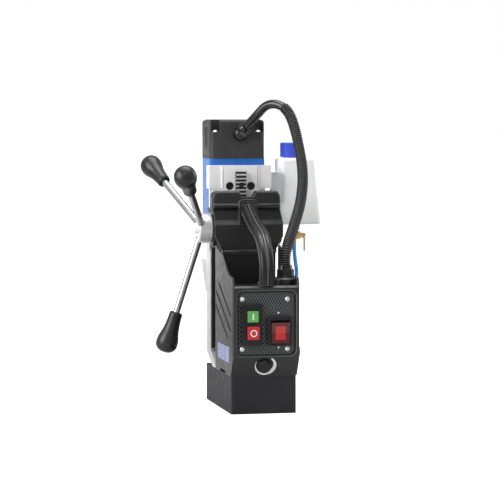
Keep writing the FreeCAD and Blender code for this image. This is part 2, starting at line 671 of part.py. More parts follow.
def motor_switch_frame():
    x0, x1, z0, z1 = SWITCH
    bezel = round_box(x0, x1, SWITCH_FRONT, PANEL_Y[0], z0, z1, 2.0, Y_AXIS)
    bezel = soften_at(bezel, 0.8, lambda c, e: abs(c.y - SWITCH_FRONT) < 0.01)
    body = box(x0 + 1.6, x1 - 1.6, PANEL_Y[0], SWITCH_BACK, z0 + 1.6, z1 - 1.6)
    body = bezel.fuse(body)
    for x0, x1, z0, z1 in (START_BTN, STOP_BTN):
        body = body.cut(box(x0 - GAP, x1 + GAP, -110, BTN_BACK + BTN_TRAVEL + GAP, z0 - GAP, z1 + GAP))
    return body


def push_button(limits, front):
    x0, x1, z0, z1 = limits
    cap = box(x0, x1, front, BTN_BACK, z0, z1)
    return soften_at(cap, 0.7, lambda c, e: abs(c.y - BTN_BACK) > 0.01)


def rocker_frame():
    x0, x1, z0, z1 = ROCKER_FRAME
    bezel = round_box(x0, x1, ROCKER_FRAME_FRONT, PANEL_Y[0], z0, z1, 2.0, Y_AXIS)
    bezel = soften_at(bezel, 0.8, lambda c, e: abs(c.y - ROCKER_FRAME_FRONT) < 0.01)
    body = box(x0 + 1.6, x1 - 1.6, PANEL_Y[0], ROCKER_BACK, z0 + 1.6, z1 - 1.6)
    body = bezel.fuse(body)
    x0, x1, z0, z1 = ROCKER
    pocket = box(x0 - GAP, x1 + GAP, -110, -78.0, z0 - GAP, z1 + GAP)
    middle = (z0 + z1) / 2.0
    pins = cyl((x0 - GAP - 1.5, ROCKER_PIVOT_Y, middle), X_AXIS, 1.5 + RUN, x1 - x0 + 2 * GAP + 3.0)
    return body.cut(pocket).cut(pins)


def magnet_rocker():
    x0, x1, z0, z1 = ROCKER
    middle = (z0 + z1) / 2.0
    half = (z1 - z0) / 2.0
    dip = ROCKER_FRONT + 1.6
    profile = [(ROCKER_FRONT, middle - half + 1.2), (dip, middle), (ROCKER_FRONT, middle + half - 1.2),
               (-88.0, middle + half - 1.2), (-82.5, middle + 4.0), (-82.5, middle - 4.0),
               (-88.0, middle - half + 1.2)]
    cap = prism_yz(profile, x0, x1)
    pins = cyl((x0 - 1.5, ROCKER_PIVOT_Y, middle), X_AXIS, 1.5, x1 - x0 + 3.0)
    body = cap.fuse(pins)
    body.rotate(V(0, ROCKER_PIVOT_Y, middle), X_AXIS, ROCKER_TILT / 2.0)
    return body


def control_board():
    x0, x1, z0, z1 = BOARD
    y0, y1 = BOARD_Y
    board = box(x0, x1, y0, y1, z0, z1)
    parts = [board, box(-24, -8, y0 - 11, y0, 108, 128), box(6, 26, y0 - 14, y0, 84, 104)]
    for i in range(4):
        parts.append(cyl((-22 + 10 * i, y0, 74), Y_AXIS * -1.0, 3.8, 11))
    for x in (x0 + 5, x1 - 5):
        for z in (z0 + 5, z1 - 5):
            parts.append(cyl((x, y1, z), Y_AXIS, 2.5, 48.4))
    return fuse(parts)


# ================================================================ handle


def handle_wire(points):
    spline = Part.BSplineCurve()
    spline.interpolate([V(HANDLE_X, y, z) for y, z in points])
    return Part.Wire([spline.toShape()])


def handle_section(origin, direction):
    """Rounded bar outline with a shallow groove along each side."""
    w, t, r, g = HANDLE_W / 2.0, HANDLE_T / 2.0, HANDLE_EDGE, HANDLE_GROOVE
    k = r * (1.0 - math.sqrt(0.5))
    edges = []
    for sx, sy in ((1, 1), (-1, 1), (-1, -1), (1, -1)):
        side = (V(sx * w, sy * g, 0), V(sx * w, sy * (t - r), 0))
        bend = (side[1], V(sx * (w - k), sy * (t - k), 0), V(sx * (w - r), sy * t, 0))
        edges.append(Part.LineSegment(*side).toShape())
        edges.append(Part.Arc(*bend).toShape())
    for sy in (1, -1):
        edges.append(Part.LineSegment(V(w - r, sy * t, 0), V(r - w, sy * t, 0)).toShape())
    for sx in (1, -1):
        edges.append(Part.Arc(V(sx * w, g, 0), V(sx * (w - g), 0, 0), V(sx * w, -g, 0)).toShape())
    wire = Part.Wire(Part.__sortEdges__(edges))
    wire.Placement = FreeCAD.Placement(origin, FreeCAD.Rotation(Z_AXIS, direction))
    return wire


def carry_handle():
    wire = handle_wire(HANDLE_PATH)
    edge = wire.Edges[0]
    start = edge.valueAt(edge.FirstParameter)
    section = handle_section(start, edge.tangentAt(edge.FirstParameter))
    bar = wire.makePipeShell([section], True, False)
    foot = round_box(HANDLE_X - 9.5, HANDLE_X + 9.5, -93.5, -80.0, BOX_TOP, BOX_TOP + 4.0, 3.0)
    body = bar.common(box(-20, 20, -120, HANDLE_PAD_Y[1], BOX_TOP, 300))
    body = fuse([body, foot, handle_pad(0.0)])
    tools = [cyl((x, HANDLE_PAD_Y[0] - 1.0, z), Y_AXIS, HANDLE_SCREW_R, 8.0) for x, z in HANDLE_SCREWS_TOP]
    tools += [cyl((x, HANDLE_PAD_Y[0] - 20.0, z), Y_AXIS, 2.9, 20.0) for x, z in HANDLE_SCREWS_TOP]
    return cut(body, tools)


def handle_pad(grow):
    half = HANDLE_PAD_HALF_X + grow
    z0, z1 = HANDLE_PAD_Z
    y0, y1 = HANDLE_PAD_Y
    return round_box(HANDLE_X - half, HANDLE_X + half, y0 - 5.0 * grow, y1 + grow / 2.0, z0 - grow, z1 + grow,
                     3.0, Y_AXIS)


def pocket_for_handle():
    return handle_pad(0.2)


def handle_screws():
    seat = HANDLE_PAD_Y[0]
    return [socket_screw((x, seat, z), Y_AXIS * -1.0, 2.7, 2.6, HANDLE_SCREW_R, 10.5)
            for x, z in HANDLE_SCREWS_TOP]


# ================================================================ guide frame


def dove(z0, z1, grow, y0, y1):
    """Dovetail bar, wide side toward the housing."""
    span = SLIDE_Y[1] - SLIDE_Y[0]
    slope = (DOVE_REAR - DOVE_FRONT) / span
    rear = DOVE_REAR + grow + slope * (SLIDE_Y[0] - y0)
    front = DOVE_REAR + grow - slope * (y1 - SLIDE_Y[0])
    return prism_xy([(-rear, y0), (rear, y0), (front, y1), (-front, y1)], z0, z1)


def guide_frame():
    body = prism_yz(GUIDE_PROFILE, -GUIDE_HALF_X, GUIDE_HALF_X)
    body = soften_at(body, 1.0, lambda c, e: abs(abs(c.x) - GUIDE_HALF_X) < 0.01 and c.y > 76.9)
    way = dove(40.0, 300.0, GAP, SLIDE_Y[0] - GAP, 79.0)
    gib_room = way.copy()
    gib_room.translate(V(GIB_T, 0, 0))
    tools = [way, gib_room, box(-RACK_HALF_X - 1.5, RACK_HALF_X + 1.5, 40, 60, RACK_SLOT_Z, 300)]
    tools.append(cyl((-9.0, FEED_Y, FEED_Z), X_AXIS, PINION_R + 2.2, 18.0))
    for x, z in FRAME_BOLTS:
        tools.append(cyl((x, 48.0, z), Y_AXIS, 3.0, 12.0))
        tools.append(cyl((x, 53.0, z), Y_AXIS, 5.2, 30.0))
    for z in GIB_SCREW_Z:
        tools.append(cyl((20.0, GIB_SCREW_Y, z), X_AXIS, 2.5, 30.0))
    tools.append(box(-NECK_HALF_X - 0.2, NECK_HALF_X + 0.2, 0.0, NECK_Y1 + 0.1, 40.0, 230.0))
    tools.append(box(-60.0, 60.0, 0.0, 14.4, 40.0, 60.0))
    tools.append(box(-60.0, 60.0, 40.0, TOWER_Y[1] + 0.05, TOWER_Z[0] - 8.05, 300.0))
    tools.append(box(-24.0, 24.0, 50.0, SLIDE_Y[0], TOWER_Z[0] - 8.05, 300.0))
    return cut(body, tools)


def frame_bolts():
    return [socket_screw((x, 53.0, z), Y_AXIS, 4.8, 4.6, 3.0, 20.0) for x, z in FRAME_BOLTS]


def gib_strip():
    outer = dove(68.0, GUIDE_TOP - 1.0, GAP, SLIDE_Y[0] + 0.4, 76.4)
    shifted = outer.copy()
    shifted.translate(V(GIB_T - 0.05, 0, 0))
    strip = shifted.cut(dove(60.0, 300.0, 0.06, SLIDE_Y[0] - 1.0, 79.0))
    return strip.common(box(0.0, 40.0, 50.0, 90.0, 60.0, 300.0))


def gib_screws():
    face = GUIDE_HALF_X
    screws = []
    for z in GIB_SCREW_Z:
        shank = cyl((25.4, GIB_SCREW_Y, z), X_AXIS, 2.5, face - 25.4 + 2.6)
        reach = shank.cut(dove(60.0, 300.0, GAP + GIB_T - 0.02, SLIDE_Y[0] - 1.0, 79.0))
        nut = hexagon((face, GIB_SCREW_Y, z), X_AXIS, 8.0, 3.2)
        socket = hexagon((face + 0.6, GIB_SCREW_Y, z), X_AXIS, 2.5, 5.0)
        screws.append(fuse([reach, nut]).cut(socket))
    return screws


# ================================================================ feed
def feed_bushes():
    bushes = []
    for side in (-1, 1):
        inner = side * (PINION_HALF_W + 1.6)
        length = abs(boss_end(side)) - 4.0 - PINION_HALF_W - 1.6
        bushes.append(ring((inner, FEED_Y, FEED_Z), X_AXIS * side, (SHAFT_R + RUN, SHAFT_R + 3.0), length))
    return bushes


def pinion_shaft():
    x0 = HUB_X[0] + 3.1
    shaft = cyl((x0, FEED_Y, FEED_Z), X_AXIS, SHAFT_R, BOSS_X[1] - 2.0 - x0)
    teeth = gear(PINION_TEETH, RACK_MODULE, -PINION_HALF_W, PINION_HALF_W, (0.0, 0.0),
                 math.pi / 2.0 + math.pi / PINION_TEETH, 0.9, 1.2, 0.12)
    teeth.rotate(V(0, 0, 0), Y_AXIS, 90.0)
    teeth.translate(V(0, FEED_Y, FEED_Z))
    body = shaft.fuse(teeth)
    ring_groove = ring((BOSS_X[1] - 3.6, FEED_Y, FEED_Z), X_AXIS, (SHAFT_R - 0.8, SHAFT_R + 1.0), 1.2)
    bore = cyl((x0 - 1.0, FEED_Y, FEED_Z), X_AXIS, 3.0, 15.0)
    return body.cut(ring_groove).cut(bore)


def capstan_hub():
    x0, x1 = HUB_X
    body = cyl((x0, FEED_Y, FEED_Z), X_AXIS, HUB_R, x1 - x0)
    body = body.makeChamfer(1.6, [e for e in body.Edges if isinstance(e.Curve, Part.Circle)])
    neck_groove = ring((x1 - 5.5, FEED_Y, FEED_Z), X_AXIS, (HUB_R - 1.4, HUB_R + 2.0), 1.8)
    tools = [neck_groove, cyl((x0 + 3.0, FEED_Y, FEED_Z), X_AXIS, SHAFT_R, 60.0),
             cyl((x0 - 1.0, FEED_Y, FEED_Z), X_AXIS, 3.1, 10.0)]
    for index in range(3):
        tools.append(spoke_cylinder(index, SPOKE_R, SPOKE_FROM, SPOKE_TO))
        start, direction = spoke_line(index)
        seat = start + direction * (HUB_R - 1.8)
        tools.append(Part.makeCylinder(SPOKE_R + 0.9, 8.0, seat, direction))
    return cut(body, tools)


def spoke_line(index):
    angle = math.radians(SPOKE_ANGLES[index])
    lean = math.radians(SPOKE_LEAN)
    direction = V(-math.sin(lean), math.cos(lean) * math.cos(angle), math.cos(lean) * math.sin(angle))
    return V(SPOKE_START_X, FEED_Y, FEED_Z), direction


def spoke_cylinder(index, radius, start_r, end_r):
    origin, direction = spoke_line(index)
    return Part.makeCylinder(radius, end_r - start_r, origin + direction * start_r, direction)


def feed_spoke(index):
    rod = spoke_cylinder(index, SPOKE_R, SPOKE_FROM + 0.2, SPOKE_TO)
    return cut(rod, [cyl((-80, FEED_Y, FEED_Z), X_AXIS, SHAFT_R, 60.0)])


def feed_knob(index):
    lathe = Part.BSplineCurve()
    lathe.interpolate([V(r, 0, h) for h, r in GRIP_PROFILE[1:]])
    edges = [Part.LineSegment(V(0, 0, 0), V(GRIP_PROFILE[0][1], 0, 0)).toShape(),
             Part.LineSegment(V(GRIP_PROFILE[0][1], 0, 0),
                              V(GRIP_PROFILE[1][1], 0, GRIP_PROFILE[1][0])).toShape(),
             lathe.toShape(),
             Part.LineSegment(V(0, 0, KNOB_LEN), V(0, 0, 0)).toShape()]
    grip = Part.Face(Part.Wire(edges)).revolve(V(0, 0, 0), Z_AXIS, 360.0)
    bore = Part.makeCylinder(SPOKE_R, SPOKE_TO - KNOB_START, V(0, 0, 0), Z_AXIS)
    grip = grip.cut(bore)
    origin, direction = spoke_line(index)
    grip.Placement = FreeCAD.Placement(origin + direction * KNOB_START, FreeCAD.Rotation(Z_AXIS, direction))
    return grip


def hub_screw():
    return socket_screw((HUB_X[0], FEED_Y, FEED_Z), X_AXIS * -1.0, 6.5, 4.0, 3.0, 16.0)


def retaining_ring():
    rim = ring((BOSS_X[1] - 3.5, FEED_Y, FEED_Z), X_AXIS, (SHAFT_R - 0.75, SHAFT_R + 3.0), 1.0)
    return rim.cut(box(40.0, 50.0, FEED_Y - 2.0, FEED_Y + 2.0, FEED_Z, FEED_Z + 20.0))


# ================================================================ slide and rack
def slide_plate():
    bar = dove(SLIDE_Z[0], SLIDE_Z[1], 0.0, SLIDE_Y[0], SLIDE_Y[1])
    head = box(-GUIDE_HALF_X, GUIDE_HALF_X, SLIDE_Y[0] + 1.2, SLIDE_Y[1], HEAD_Z, SLIDE_Z[1])
    plate = box(-PLATE_HALF_X, PLATE_HALF_X, PLATE_Y[0], PLATE_Y[1], SLIDE_Z[0], SLIDE_Z[1] - 6.0)
    body = fuse([bar, head, plate])
    tools = [box(-RACK_HALF_X, RACK_HALF_X, 50.0, SLIDE_Y[0] + 2.0, RACK_Z[0], RACK_Z[1])]
    for x in (-SLIDE_BORE_X, SLIDE_BORE_X):
        for z in SLIDE_SCREW_Z:
            tools.append(cyl((x, SLIDE_Y[0] - 1.0, z), Y_AXIS, SLIDE_BORE_R, 7.0))
            tools.append(cyl((x, SLIDE_Y[0], z), Y_AXIS, 2.5, 40.0))
    for z in RACK_SCREW_Z:
        tools.append(cyl((0, SLIDE_Y[0] - 1.0, z), Y_AXIS, 2.0, 15.0))
    edge = box(HEAD_LINE_X, HEAD_LINE_X + 0.9, SLIDE_Y[0], SLIDE_Y[0] + 2.2, HEAD_Z - 1, SLIDE_Z[1] + 1)
    tools += [edge, edge.mirror(V(0, 0, 0), X_AXIS)]
    return cut(body, tools)


def rack():
    tooth_pitch = math.pi * RACK_MODULE
    tip = RACK_PITCH_Y - 0.85 * RACK_MODULE
    root = RACK_PITCH_Y + 1.2 * RACK_MODULE
    slant = math.tan(PRESSURE)
    half_pitch_w = tooth_pitch / 4.0 - 0.06
    tip_w = half_pitch_w - 0.85 * RACK_MODULE * slant
    root_w = half_pitch_w + 1.2 * RACK_MODULE * slant
    back = SLIDE_Y[0] + 2.0
    first = math.ceil((RACK_Z[0] + 2.0 - FEED_Z) / tooth_pitch)
    last = math.floor((RACK_Z[1] - 2.0 - FEED_Z) / tooth_pitch)
    outline = [(back, RACK_Z[0]), (root, RACK_Z[0])]
    for k in range(first, last + 1):
        middle = FEED_Z + k * tooth_pitch
        outline += [(root, middle - root_w), (tip, middle - tip_w)]
        outline += [(tip, middle + tip_w), (root, middle + root_w)]
    outline += [(root, RACK_Z[1]), (back, RACK_Z[1])]
    body = prism_yz(outline, -RACK_HALF_X, RACK_HALF_X)
    front = RACK_PITCH_Y - 12.0
    for z in RACK_SCREW_Z:
        body = body.cut(cyl((0, front, z), Y_AXIS, 2.0, 30.0))
        body = body.cut(cyl((0, front, z), Y_AXIS, 3.6, RACK_SCREW_SEAT_Y - front))
    return body


def slide_screws():
    screws = []
    for x in (-SLIDE_BORE_X, SLIDE_BORE_X):
        for z in SLIDE_SCREW_Z:
            seat = (x, SLIDE_Y[0] + 6.0, z)
            screws.append(socket_screw(seat, Y_AXIS * -1.0, SLIDE_HEAD_R, 4.0, 2.5, 21.6))
    for z in RACK_SCREW_Z:
        screws.append(socket_screw((0, RACK_SCREW_SEAT_Y, z), Y_AXIS * -1.0, 3.4, 2.6, 2.0, 14.0))
    return screws


# ================================================================ motor
def motor_housing():
    body = round_box(-MOTOR_HALF_X, MOTOR_HALF_X, PLATE_Y[1], MOTOR_Y[1], MOTOR_Z[0], MOTOR_Z[1], MOTOR_R)
    rear = box(-MOTOR_HALF_X, MOTOR_HALF_X, PLATE_Y[1], PLATE_Y[1] + 14.0, MOTOR_Z[0], MOTOR_Z[1])
    above = round_box(-MOTOR_HALF_X, MOTOR_HALF_X, MOTOR_Y[0], PLATE_Y[1] + 14.0, SLIDE_Z[1] - 5.6,
                      MOTOR_Z[1], 3.0)
    body = fuse([body, rear, above.cut(box(-50, 50, 70, SLIDE_Y[1] + 0.01, 200, SLIDE_Z[1]))])
    cavity = cyl((0, AXIS_Y, MOTOR_Z[0] - 1), Z_AXIS, STATOR_R[1], MOTOR_Z[1])
    tools = [cavity]
    for x in (-SLIDE_BORE_X, SLIDE_BORE_X):
        tools.append(cyl((x, SLIDE_Y[0], SLIDE_BORE_Z), Y_AXIS, 2.5, 32.0))
    for x, y in CAP_SCREW_XY:
        tools.append(cyl((x, y, MOTOR_Z[1] - 14.0), Z_AXIS, 1.8, 20.0))
    return cut(body, tools)


def motor_cap():
    x, (y0, y1) = CAP_HALF_X, CAP_Y
    body = round_box(-x, x, y0, y1, MOTOR_Z[1], CAP_TOP, CAP_R)
    body = soften_at(body, 5.0, lambda c, e: abs(c.z - CAP_TOP) < 0.01)
    w = CAP_WALL
    inner = round_box(-x + w, x - w, y0 + w, y1 - w, MOTOR_Z[1] - 1, CAP_TOP - w, CAP_R - w)
    posts = []
    for sx in (-1, 1):
        for sy, edge in ((1, y0), (-1, y1)):
            xs = sorted((sx * (POCKET_X[0] - 1.6), sx * (POCKET_X[1] + 1.6)))
            ys = sorted((edge, edge + sy * (POCKET_DEPTH + 1.6)))
            posts.append(box(xs[0], xs[1], ys[0], ys[1], MOTOR_Z[1], CAP_TOP - 1.0).common(body))
    shell = fuse([body.cut(inner)] + posts)
    tools = []
    for sx in (-1, 1):
        for sy, edge in ((1, y0), (-1, y1)):
            xs = sorted((sx * POCKET_X[0], sx * POCKET_X[1]))
            ys = sorted((edge - sy * 5.0, edge + sy * POCKET_DEPTH))
            tools.append(box(xs[0], xs[1], ys[0], ys[1], POCKET_Z, CAP_TOP + 5.0))
        for i in range(2):
            y = 96.0 + 10.0 * i
            xs = sorted((sx * (x - 4.0), sx * (x + 4.0)))
            tools.append(round_box(xs[0], xs[1], y, y + 4.5, 319.0, 346.0, 1.8, X_AXIS))
    tools += [cyl((x, y, MOTOR_Z[1] - 1), Z_AXIS, 1.8, 60.0) for x, y in CAP_SCREW_XY]
    tools.append(cyl((CAP_GLAND.x, y0 - 1, CAP_GLAND.z), Y_AXIS, 6.0, 8.0))
    return cut(shell, tools)


def cap_screws():
    return [pan_screw((x, y, POCKET_Z), Z_AXIS, 4.0, 2.6, 1.8, 44.0) for x, y in CAP_SCREW_XY]


def motor_gland():
    """Angled strain relief on the back of the cap."""
    base = CAP_GLAND
    axis = CAP_GLAND_AXIS * (1.0 / CAP_GLAND_AXIS.Length)
    flange = cyl((base.x, base.y, base.z), Y_AXIS * -1.0, 9.5, 2.5)
    block = Part.makeSphere(8.4, base + Y_AXIS * -1.0).cut(box(-20, 30, base.y, 100, 300, 370))
    nut = hexagon(tuple(base + axis * 5.0), axis, 16.5, 6.0)
    nose = Part.makeCone(7.8, 6.8, CAP_GLAND_LEN - 11.0, base + axis * 11.0, axis)
    spigot = cyl((base.x, base.y, base.z), Y_AXIS, 5.9, 6.0)
    body = fuse([flange, block, nut, nose]).cut(box(-30, 40, base.y, 100, 300, 380)).fuse(spigot)
    wire_bore = cyl((base.x, base.y + 8.0, base.z), Y_AXIS * -1.0, 3.0, 11.0)
    axis_bore = Part.makeCylinder(3.0, 30.0, base - axis * 1.0, axis)
    return body.cut(wire_bore).cut(axis_bore)


def stator():
    z0, z1 = STATOR_Z
    core = ring((0, AXIS_Y, z0), Z_AXIS, (STATOR_R[0], STATOR_R[1] - 0.05), z1 - z0)
    ends = []
    for z in (STATOR_Z[0] - 5.0, STATOR_Z[1]):
        ends.append(ring((0, AXIS_Y, z), Z_AXIS, (17.5, 22.0), 5.0))
    return fuse([core] + ends)


def armature():
    z0, z1 = ARMATURE_Z
    core = cyl((0, AXIS_Y, z0), Z_AXIS, ARMATURE_R, z1 - z0)
    for i in range(12):
        slot = box(-1.0, 1.0, AXIS_Y + 12.0, AXIS_Y + 22.0, z0 - 1, z1 + 1)
        slot.rotate(V(0, AXIS_Y, 0), Z_AXIS, 30.0 * i)
        core = core.cut(slot)
    windings = cyl((0, AXIS_Y, z0 - 5.0), Z_AXIS, 13.0, z1 - z0 + 10.0)
    commutator = cyl((0, AXIS_Y, COMMUTATOR_Z[0]), Z_AXIS, COMMUTATOR_R, COMMUTATOR_Z[1] - COMMUTATOR_Z[0])
    shaft = cyl((0, AXIS_Y, STAGE1_Z[1]), Z_AXIS, ARM_SHAFT_R, 326.0 - STAGE1_Z[1])
    fan = []
    for i in range(9):
        blade = box(-0.8, 0.8, AXIS_Y + 4.0, AXIS_Y + 15.5, 207.0, 215.0)
        blade.rotate(V(0, AXIS_Y, 0), Z_AXIS, 40.0 * i)
        fan.append(blade)
    disc = cyl((0, AXIS_Y, 215.0), Z_AXIS, 16.0, 1.6)
    teeth = gear(TRAIN["pinion"], GEAR_M, STAGE1_Z[0], STAGE1_Z[1], (0.0, AXIS_Y), LAY_ANGLE)
    return fuse([core, windings, commutator, shaft, disc] + fan + [teeth])


def brush_holders():
    parts = []
    z = (COMMUTATOR_Z[0] + COMMUTATOR_Z[1]) / 2.0
    for side in (-1, 1):
        x_in = side * (COMMUTATOR_R + GAP)
        x_out = side * 21.0
        xs = sorted((x_in, x_out))
        holder_xs = sorted((side * 15.0, side * 22.0))
        brush = box(xs[0], xs[1], AXIS_Y - BRUSH_W / 2, AXIS_Y + BRUSH_W / 2, z - 4.0, z + 4.0)
        half = BRUSH_W / 2 + 2
        holder = box(holder_xs[0], holder_xs[1], AXIS_Y - half, AXIS_Y + half, z - 6.0, z + 6.0)
        parts.append(holder.fuse(brush))
    return parts


# ================================================================ gearbox
def gearbox_housing():
    y0, y1 = GEARBOX_Y
    top = round_box(-BOX_TOP_HALF, BOX_TOP_HALF, PLATE_Y[1], y1, 176.0, GEARBOX_Z[1], 12.0)
    rear = box(-PLATE_HALF_X, PLATE_HALF_X, PLATE_Y[1], PLATE_Y[1] + 13.0, 176.0, GEARBOX_Z[1])
    shoulders = []
    for half, front, z in ((BOX_TOP_HALF, y1, 176.0), (32.0, y1 - 4.0, GEARBOX_Z[0])):
        outline = round_box(-half, half, PLATE_Y[1], front, z, z + 1.0, 9.0)
        face = [f for f in outline.Faces if abs(f.CenterOfMass.z - z) < 0.01][0]
        shoulders.append(face.OuterWire)
    taper = Part.makeLoft(shoulders, True, True)
    nose = cyl((0, AXIS_Y, NOSE_Z), Z_AXIS, NOSE_R, GEARBOX_Z[0] - NOSE_Z + 4.0)
    nose = nose.common(box(-40, 40, PLATE_Y[0] + 3.0, 150, 0, 200))
    nose = nose.cut(box(-40, 40, 70.0, PLATE_Y[1], NOSE_Z - 1, 160.0))
    body = fuse([top, rear, taper, nose])
    tools = [cyl((0, AXIS_Y, 158.0), Z_AXIS, 17.0, 18.0), cyl((LAY_X, LAY_Y, 157.0), Z_AXIS, 8.0, 22.0)]
    tools.append(cyl((0, AXIS_Y, 176.0), Z_AXIS, 12.0, 30.0))
    tools.append(cyl((LAY_X, LAY_Y, 177.0), Z_AXIS, 17.6, 15.0))
    tools.append(cyl((0, AXIS_Y, 158.0), Z_AXIS, 17.2, 18.0))
    tools.append(cyl((0, AXIS_Y, 192.0), Z_AXIS, STATOR_R[1], 20.0))
    tools.append(cyl((0, AXIS_Y, NOSE_Z - 1.0), Z_AXIS, 16.0, 158.0 - NOSE_Z + 2.0))
    tools.append(cyl((LAY_X, LAY_Y, 148.0), Z_AXIS, LAY_SHAFT_R + RUN, 44.0))
    for x, y in GEARBOX_SCREWS:
        tools.append(cyl((x, y, 150.0), Z_AXIS, 2.0, 60.0))
        tools.append(cyl((x, y, 198.6), Z_AXIS, 3.2, 5.0))
    tools.append(cyl((NOSE_R - 14.0, AXIS_Y, 120.0), X_AXIS, 2.0, 30.0))
    for x in (-SLIDE_BORE_X, SLIDE_BORE_X):
        tools.append(cyl((x, SLIDE_Y[0], 120.0), Y_AXIS, 2.5, 30.0))
    for side in (-1, 1):
        for i in range(3):
            x = side * (18.0 + 6.0 * i)
            tools.append(box(x - 1.2, x + 1.2, y1 - 2.5, y1 + 5.0, 150.0, 190.0))
    return cut(body, tools)


def gearbox_screws():
    return [socket_screw((x, y, 198.6), Z_AXIS, 3.0, 1.4, 2.0, 30.0) for x, y in GEARBOX_SCREWS]


def gearbox_bearings():
    races = [ring((0, AXIS_Y, 116.0), Z_AXIS, (SPINDLE_R + RUN, 16.0), 12.0),
             ring((0, AXIS_Y, 136.0), Z_AXIS, (SPINDLE_R + RUN, 16.0), 12.0),
             ring((0, AXIS_Y, 192.5), Z_AXIS, (ARM_SHAFT_R + RUN, STATOR_R[1]), 6.5),
             ring((0, AXIS_Y, 311.0), Z_AXIS, (ARM_SHAFT_R + RUN, 11.0), 7.0)]
    bridge = box(-10.0, 10.0, CAP_Y[0] + CAP_WALL, CAP_Y[1] - CAP_WALL, 313.0, 316.0)
    bridge = bridge.cut(cyl((0, AXIS_Y, 300.0), Z_AXIS, 11.0, 30.0))
    return races + bridge.Solids


def intermediate_gear():
    facing = LAY_ANGLE + math.pi
    wheel = gear(TRAIN["wheel"], GEAR_M, STAGE1_Z[0] + GAP, STAGE1_Z[1] - GAP, (LAY_X, LAY_Y),
                 facing + math.pi / TRAIN["wheel"])
    pinion = gear(TRAIN["lay"], GEAR_M, STAGE2_Z[0], STAGE2_Z[1] + 3.0, (LAY_X, LAY_Y), facing)
    shaft = cyl((LAY_X, LAY_Y, 149.0), Z_AXIS, LAY_SHAFT_R - 0.6, 42.0)
    ends = cyl((LAY_X, LAY_Y, 149.0), Z_AXIS, LAY_SHAFT_R, 8.0)
    web = cyl((LAY_X, LAY_Y, STAGE2_Z[1] + 3.0), Z_AXIS, 5.5, STAGE1_Z[0] - STAGE2_Z[1] - 2.0)
    return fuse([wheel, pinion, shaft, ends, web])


def spindle_arbor():
    final = gear(TRAIN["final"], GEAR_M, STAGE2_Z[0] + 0.5, STAGE2_Z[1] - 0.5, (0.0, AXIS_Y),
                 LAY_ANGLE + math.pi / TRAIN["final"])
    shaft = cyl((0, AXIS_Y, ARBOR_Z[1] - 1.0), Z_AXIS, SPINDLE_R, 174.0 - ARBOR_Z[1])
    body = cyl((0, AXIS_Y, ARBOR_Z[0]), Z_AXIS, ARBOR_R, ARBOR_Z[1] - ARBOR_Z[0])
    body = body.makeChamfer(1.5, [e for e in body.Edges if isinstance(e.Curve, Part.Circle)])
    waist = ring((0, AXIS_Y, 92.0), Z_AXIS, (ARBOR_R - 1.8, ARBOR_R + 2.0), 9.0)
    tools = [waist, cyl((0, AXIS_Y, ARBOR_Z[0] - 1.0), Z_AXIS, WELDON_R, WELDON_DEPTH + 1.0),
             cyl((0, AXIS_Y, ARBOR_Z[0]), Z_AXIS, 3.5, 50.0)]
    for angle in (0.0, 90.0):
        screw_hole = cyl((0, AXIS_Y, ARBOR_Z[0] + 16.0), X_AXIS, 3.6, 30.0)
        screw_hole.rotate(V(0, AXIS_Y, 0), Z_AXIS, angle + 200.0)
        tools.append(screw_hole)
    return cut(fuse([final, shaft, body]), tools)


# ================================================================ coolant
def tank_prism(inset):
    x_left, x_low, x_high = TANK_X
    z0, z1 = TANK_Z
    outline = [(x_left + inset, z0 + inset), (x_low - inset, z0 + inset), (x_high - inset, z1 - inset),
               (x_left + inset, z1 - inset)]
    solid = prism_xz(outline, TANK_Y[0] + inset, TANK_Y[1] - inset)
    upright = [e for e in solid.Edges if abs(e.tangentAt(e.FirstParameter).z) > 0.9]
    return solid.makeFillet(TANK_R - inset, upright)


def coolant_tank():
    outer = tank_prism(0.0)
    outer = soften_at(outer, 4.0, lambda c, e: abs(c.z - TANK_Z[1]) < 0.01 or abs(c.z - TANK_Z[0]) < 0.01)
    inner = tank_prism(TANK_WALL)
    neck = cyl((CAP_CENTRE[0], CAP_CENTRE[1], TANK_Z[1] - 3.0), Z_AXIS, NECK_R, NECK_TOP - TANK_Z[1] + 3.0)
    outlet = cyl((INLET_X, VALVE_Y + 2.0, TANK_Z[0] - 4.0), Z_AXIS, 5.0, 8.0)
    body = fuse([outer, neck, outlet])
    tools = [inner, cyl((CAP_CENTRE[0], CAP_CENTRE[1], TANK_Z[1] - 8.0), Z_AXIS, NECK_R - 2.0, 40.0),
             cyl((INLET_X, VALVE_Y + 2.0, 200.0), Z_AXIS, 2.6, 30.0)]
    return cut(body, tools)


def tank_cap():
    z0, z1 = TANK_CAP_Z
    x, y = CAP_CENTRE
    body = cyl((x, y, z0), Z_AXIS, TANK_CAP_R, z1 - z0)
    body = soften_at(body, 1.5, lambda c, e: abs(c.z - z1) < 0.01)
    bore = cyl((x, y, z0 - 1.0), Z_AXIS, NECK_R + 0.5, NECK_TOP - z0 + 1.8)
    body = body.cut(bore)
    for i in range(24):
        flute = cyl((x + TANK_CAP_R + 0.35, y, z0 - 1.0), Z_AXIS, 0.8, z1 - z0 - 1.5)
        flute.rotate(V(x, y, 0), Z_AXIS, 15.0 * i)
        body = body.cut(flute)
    return body


def tank_bracket():
    leg = box(GUIDE_HALF_X, GUIDE_HALF_X + 2.0, 60.5, 76.0, 269.0, 288.0)
    arm = box(GUIDE_HALF_X, BRACKET_ARM_X, 66.0, 68.5, 264.5, 287.5)
    side = box(TANK_X[0] - 2.4, TANK_X[0], 66.0, 104.0, 252.0, 287.5)
    holes = [cyl((30.0, 72.0, z), X_AXIS, 2.1, 30.0) for z in (273.5, 283.5)]
    return cut(fuse([leg, arm, side]), holes)


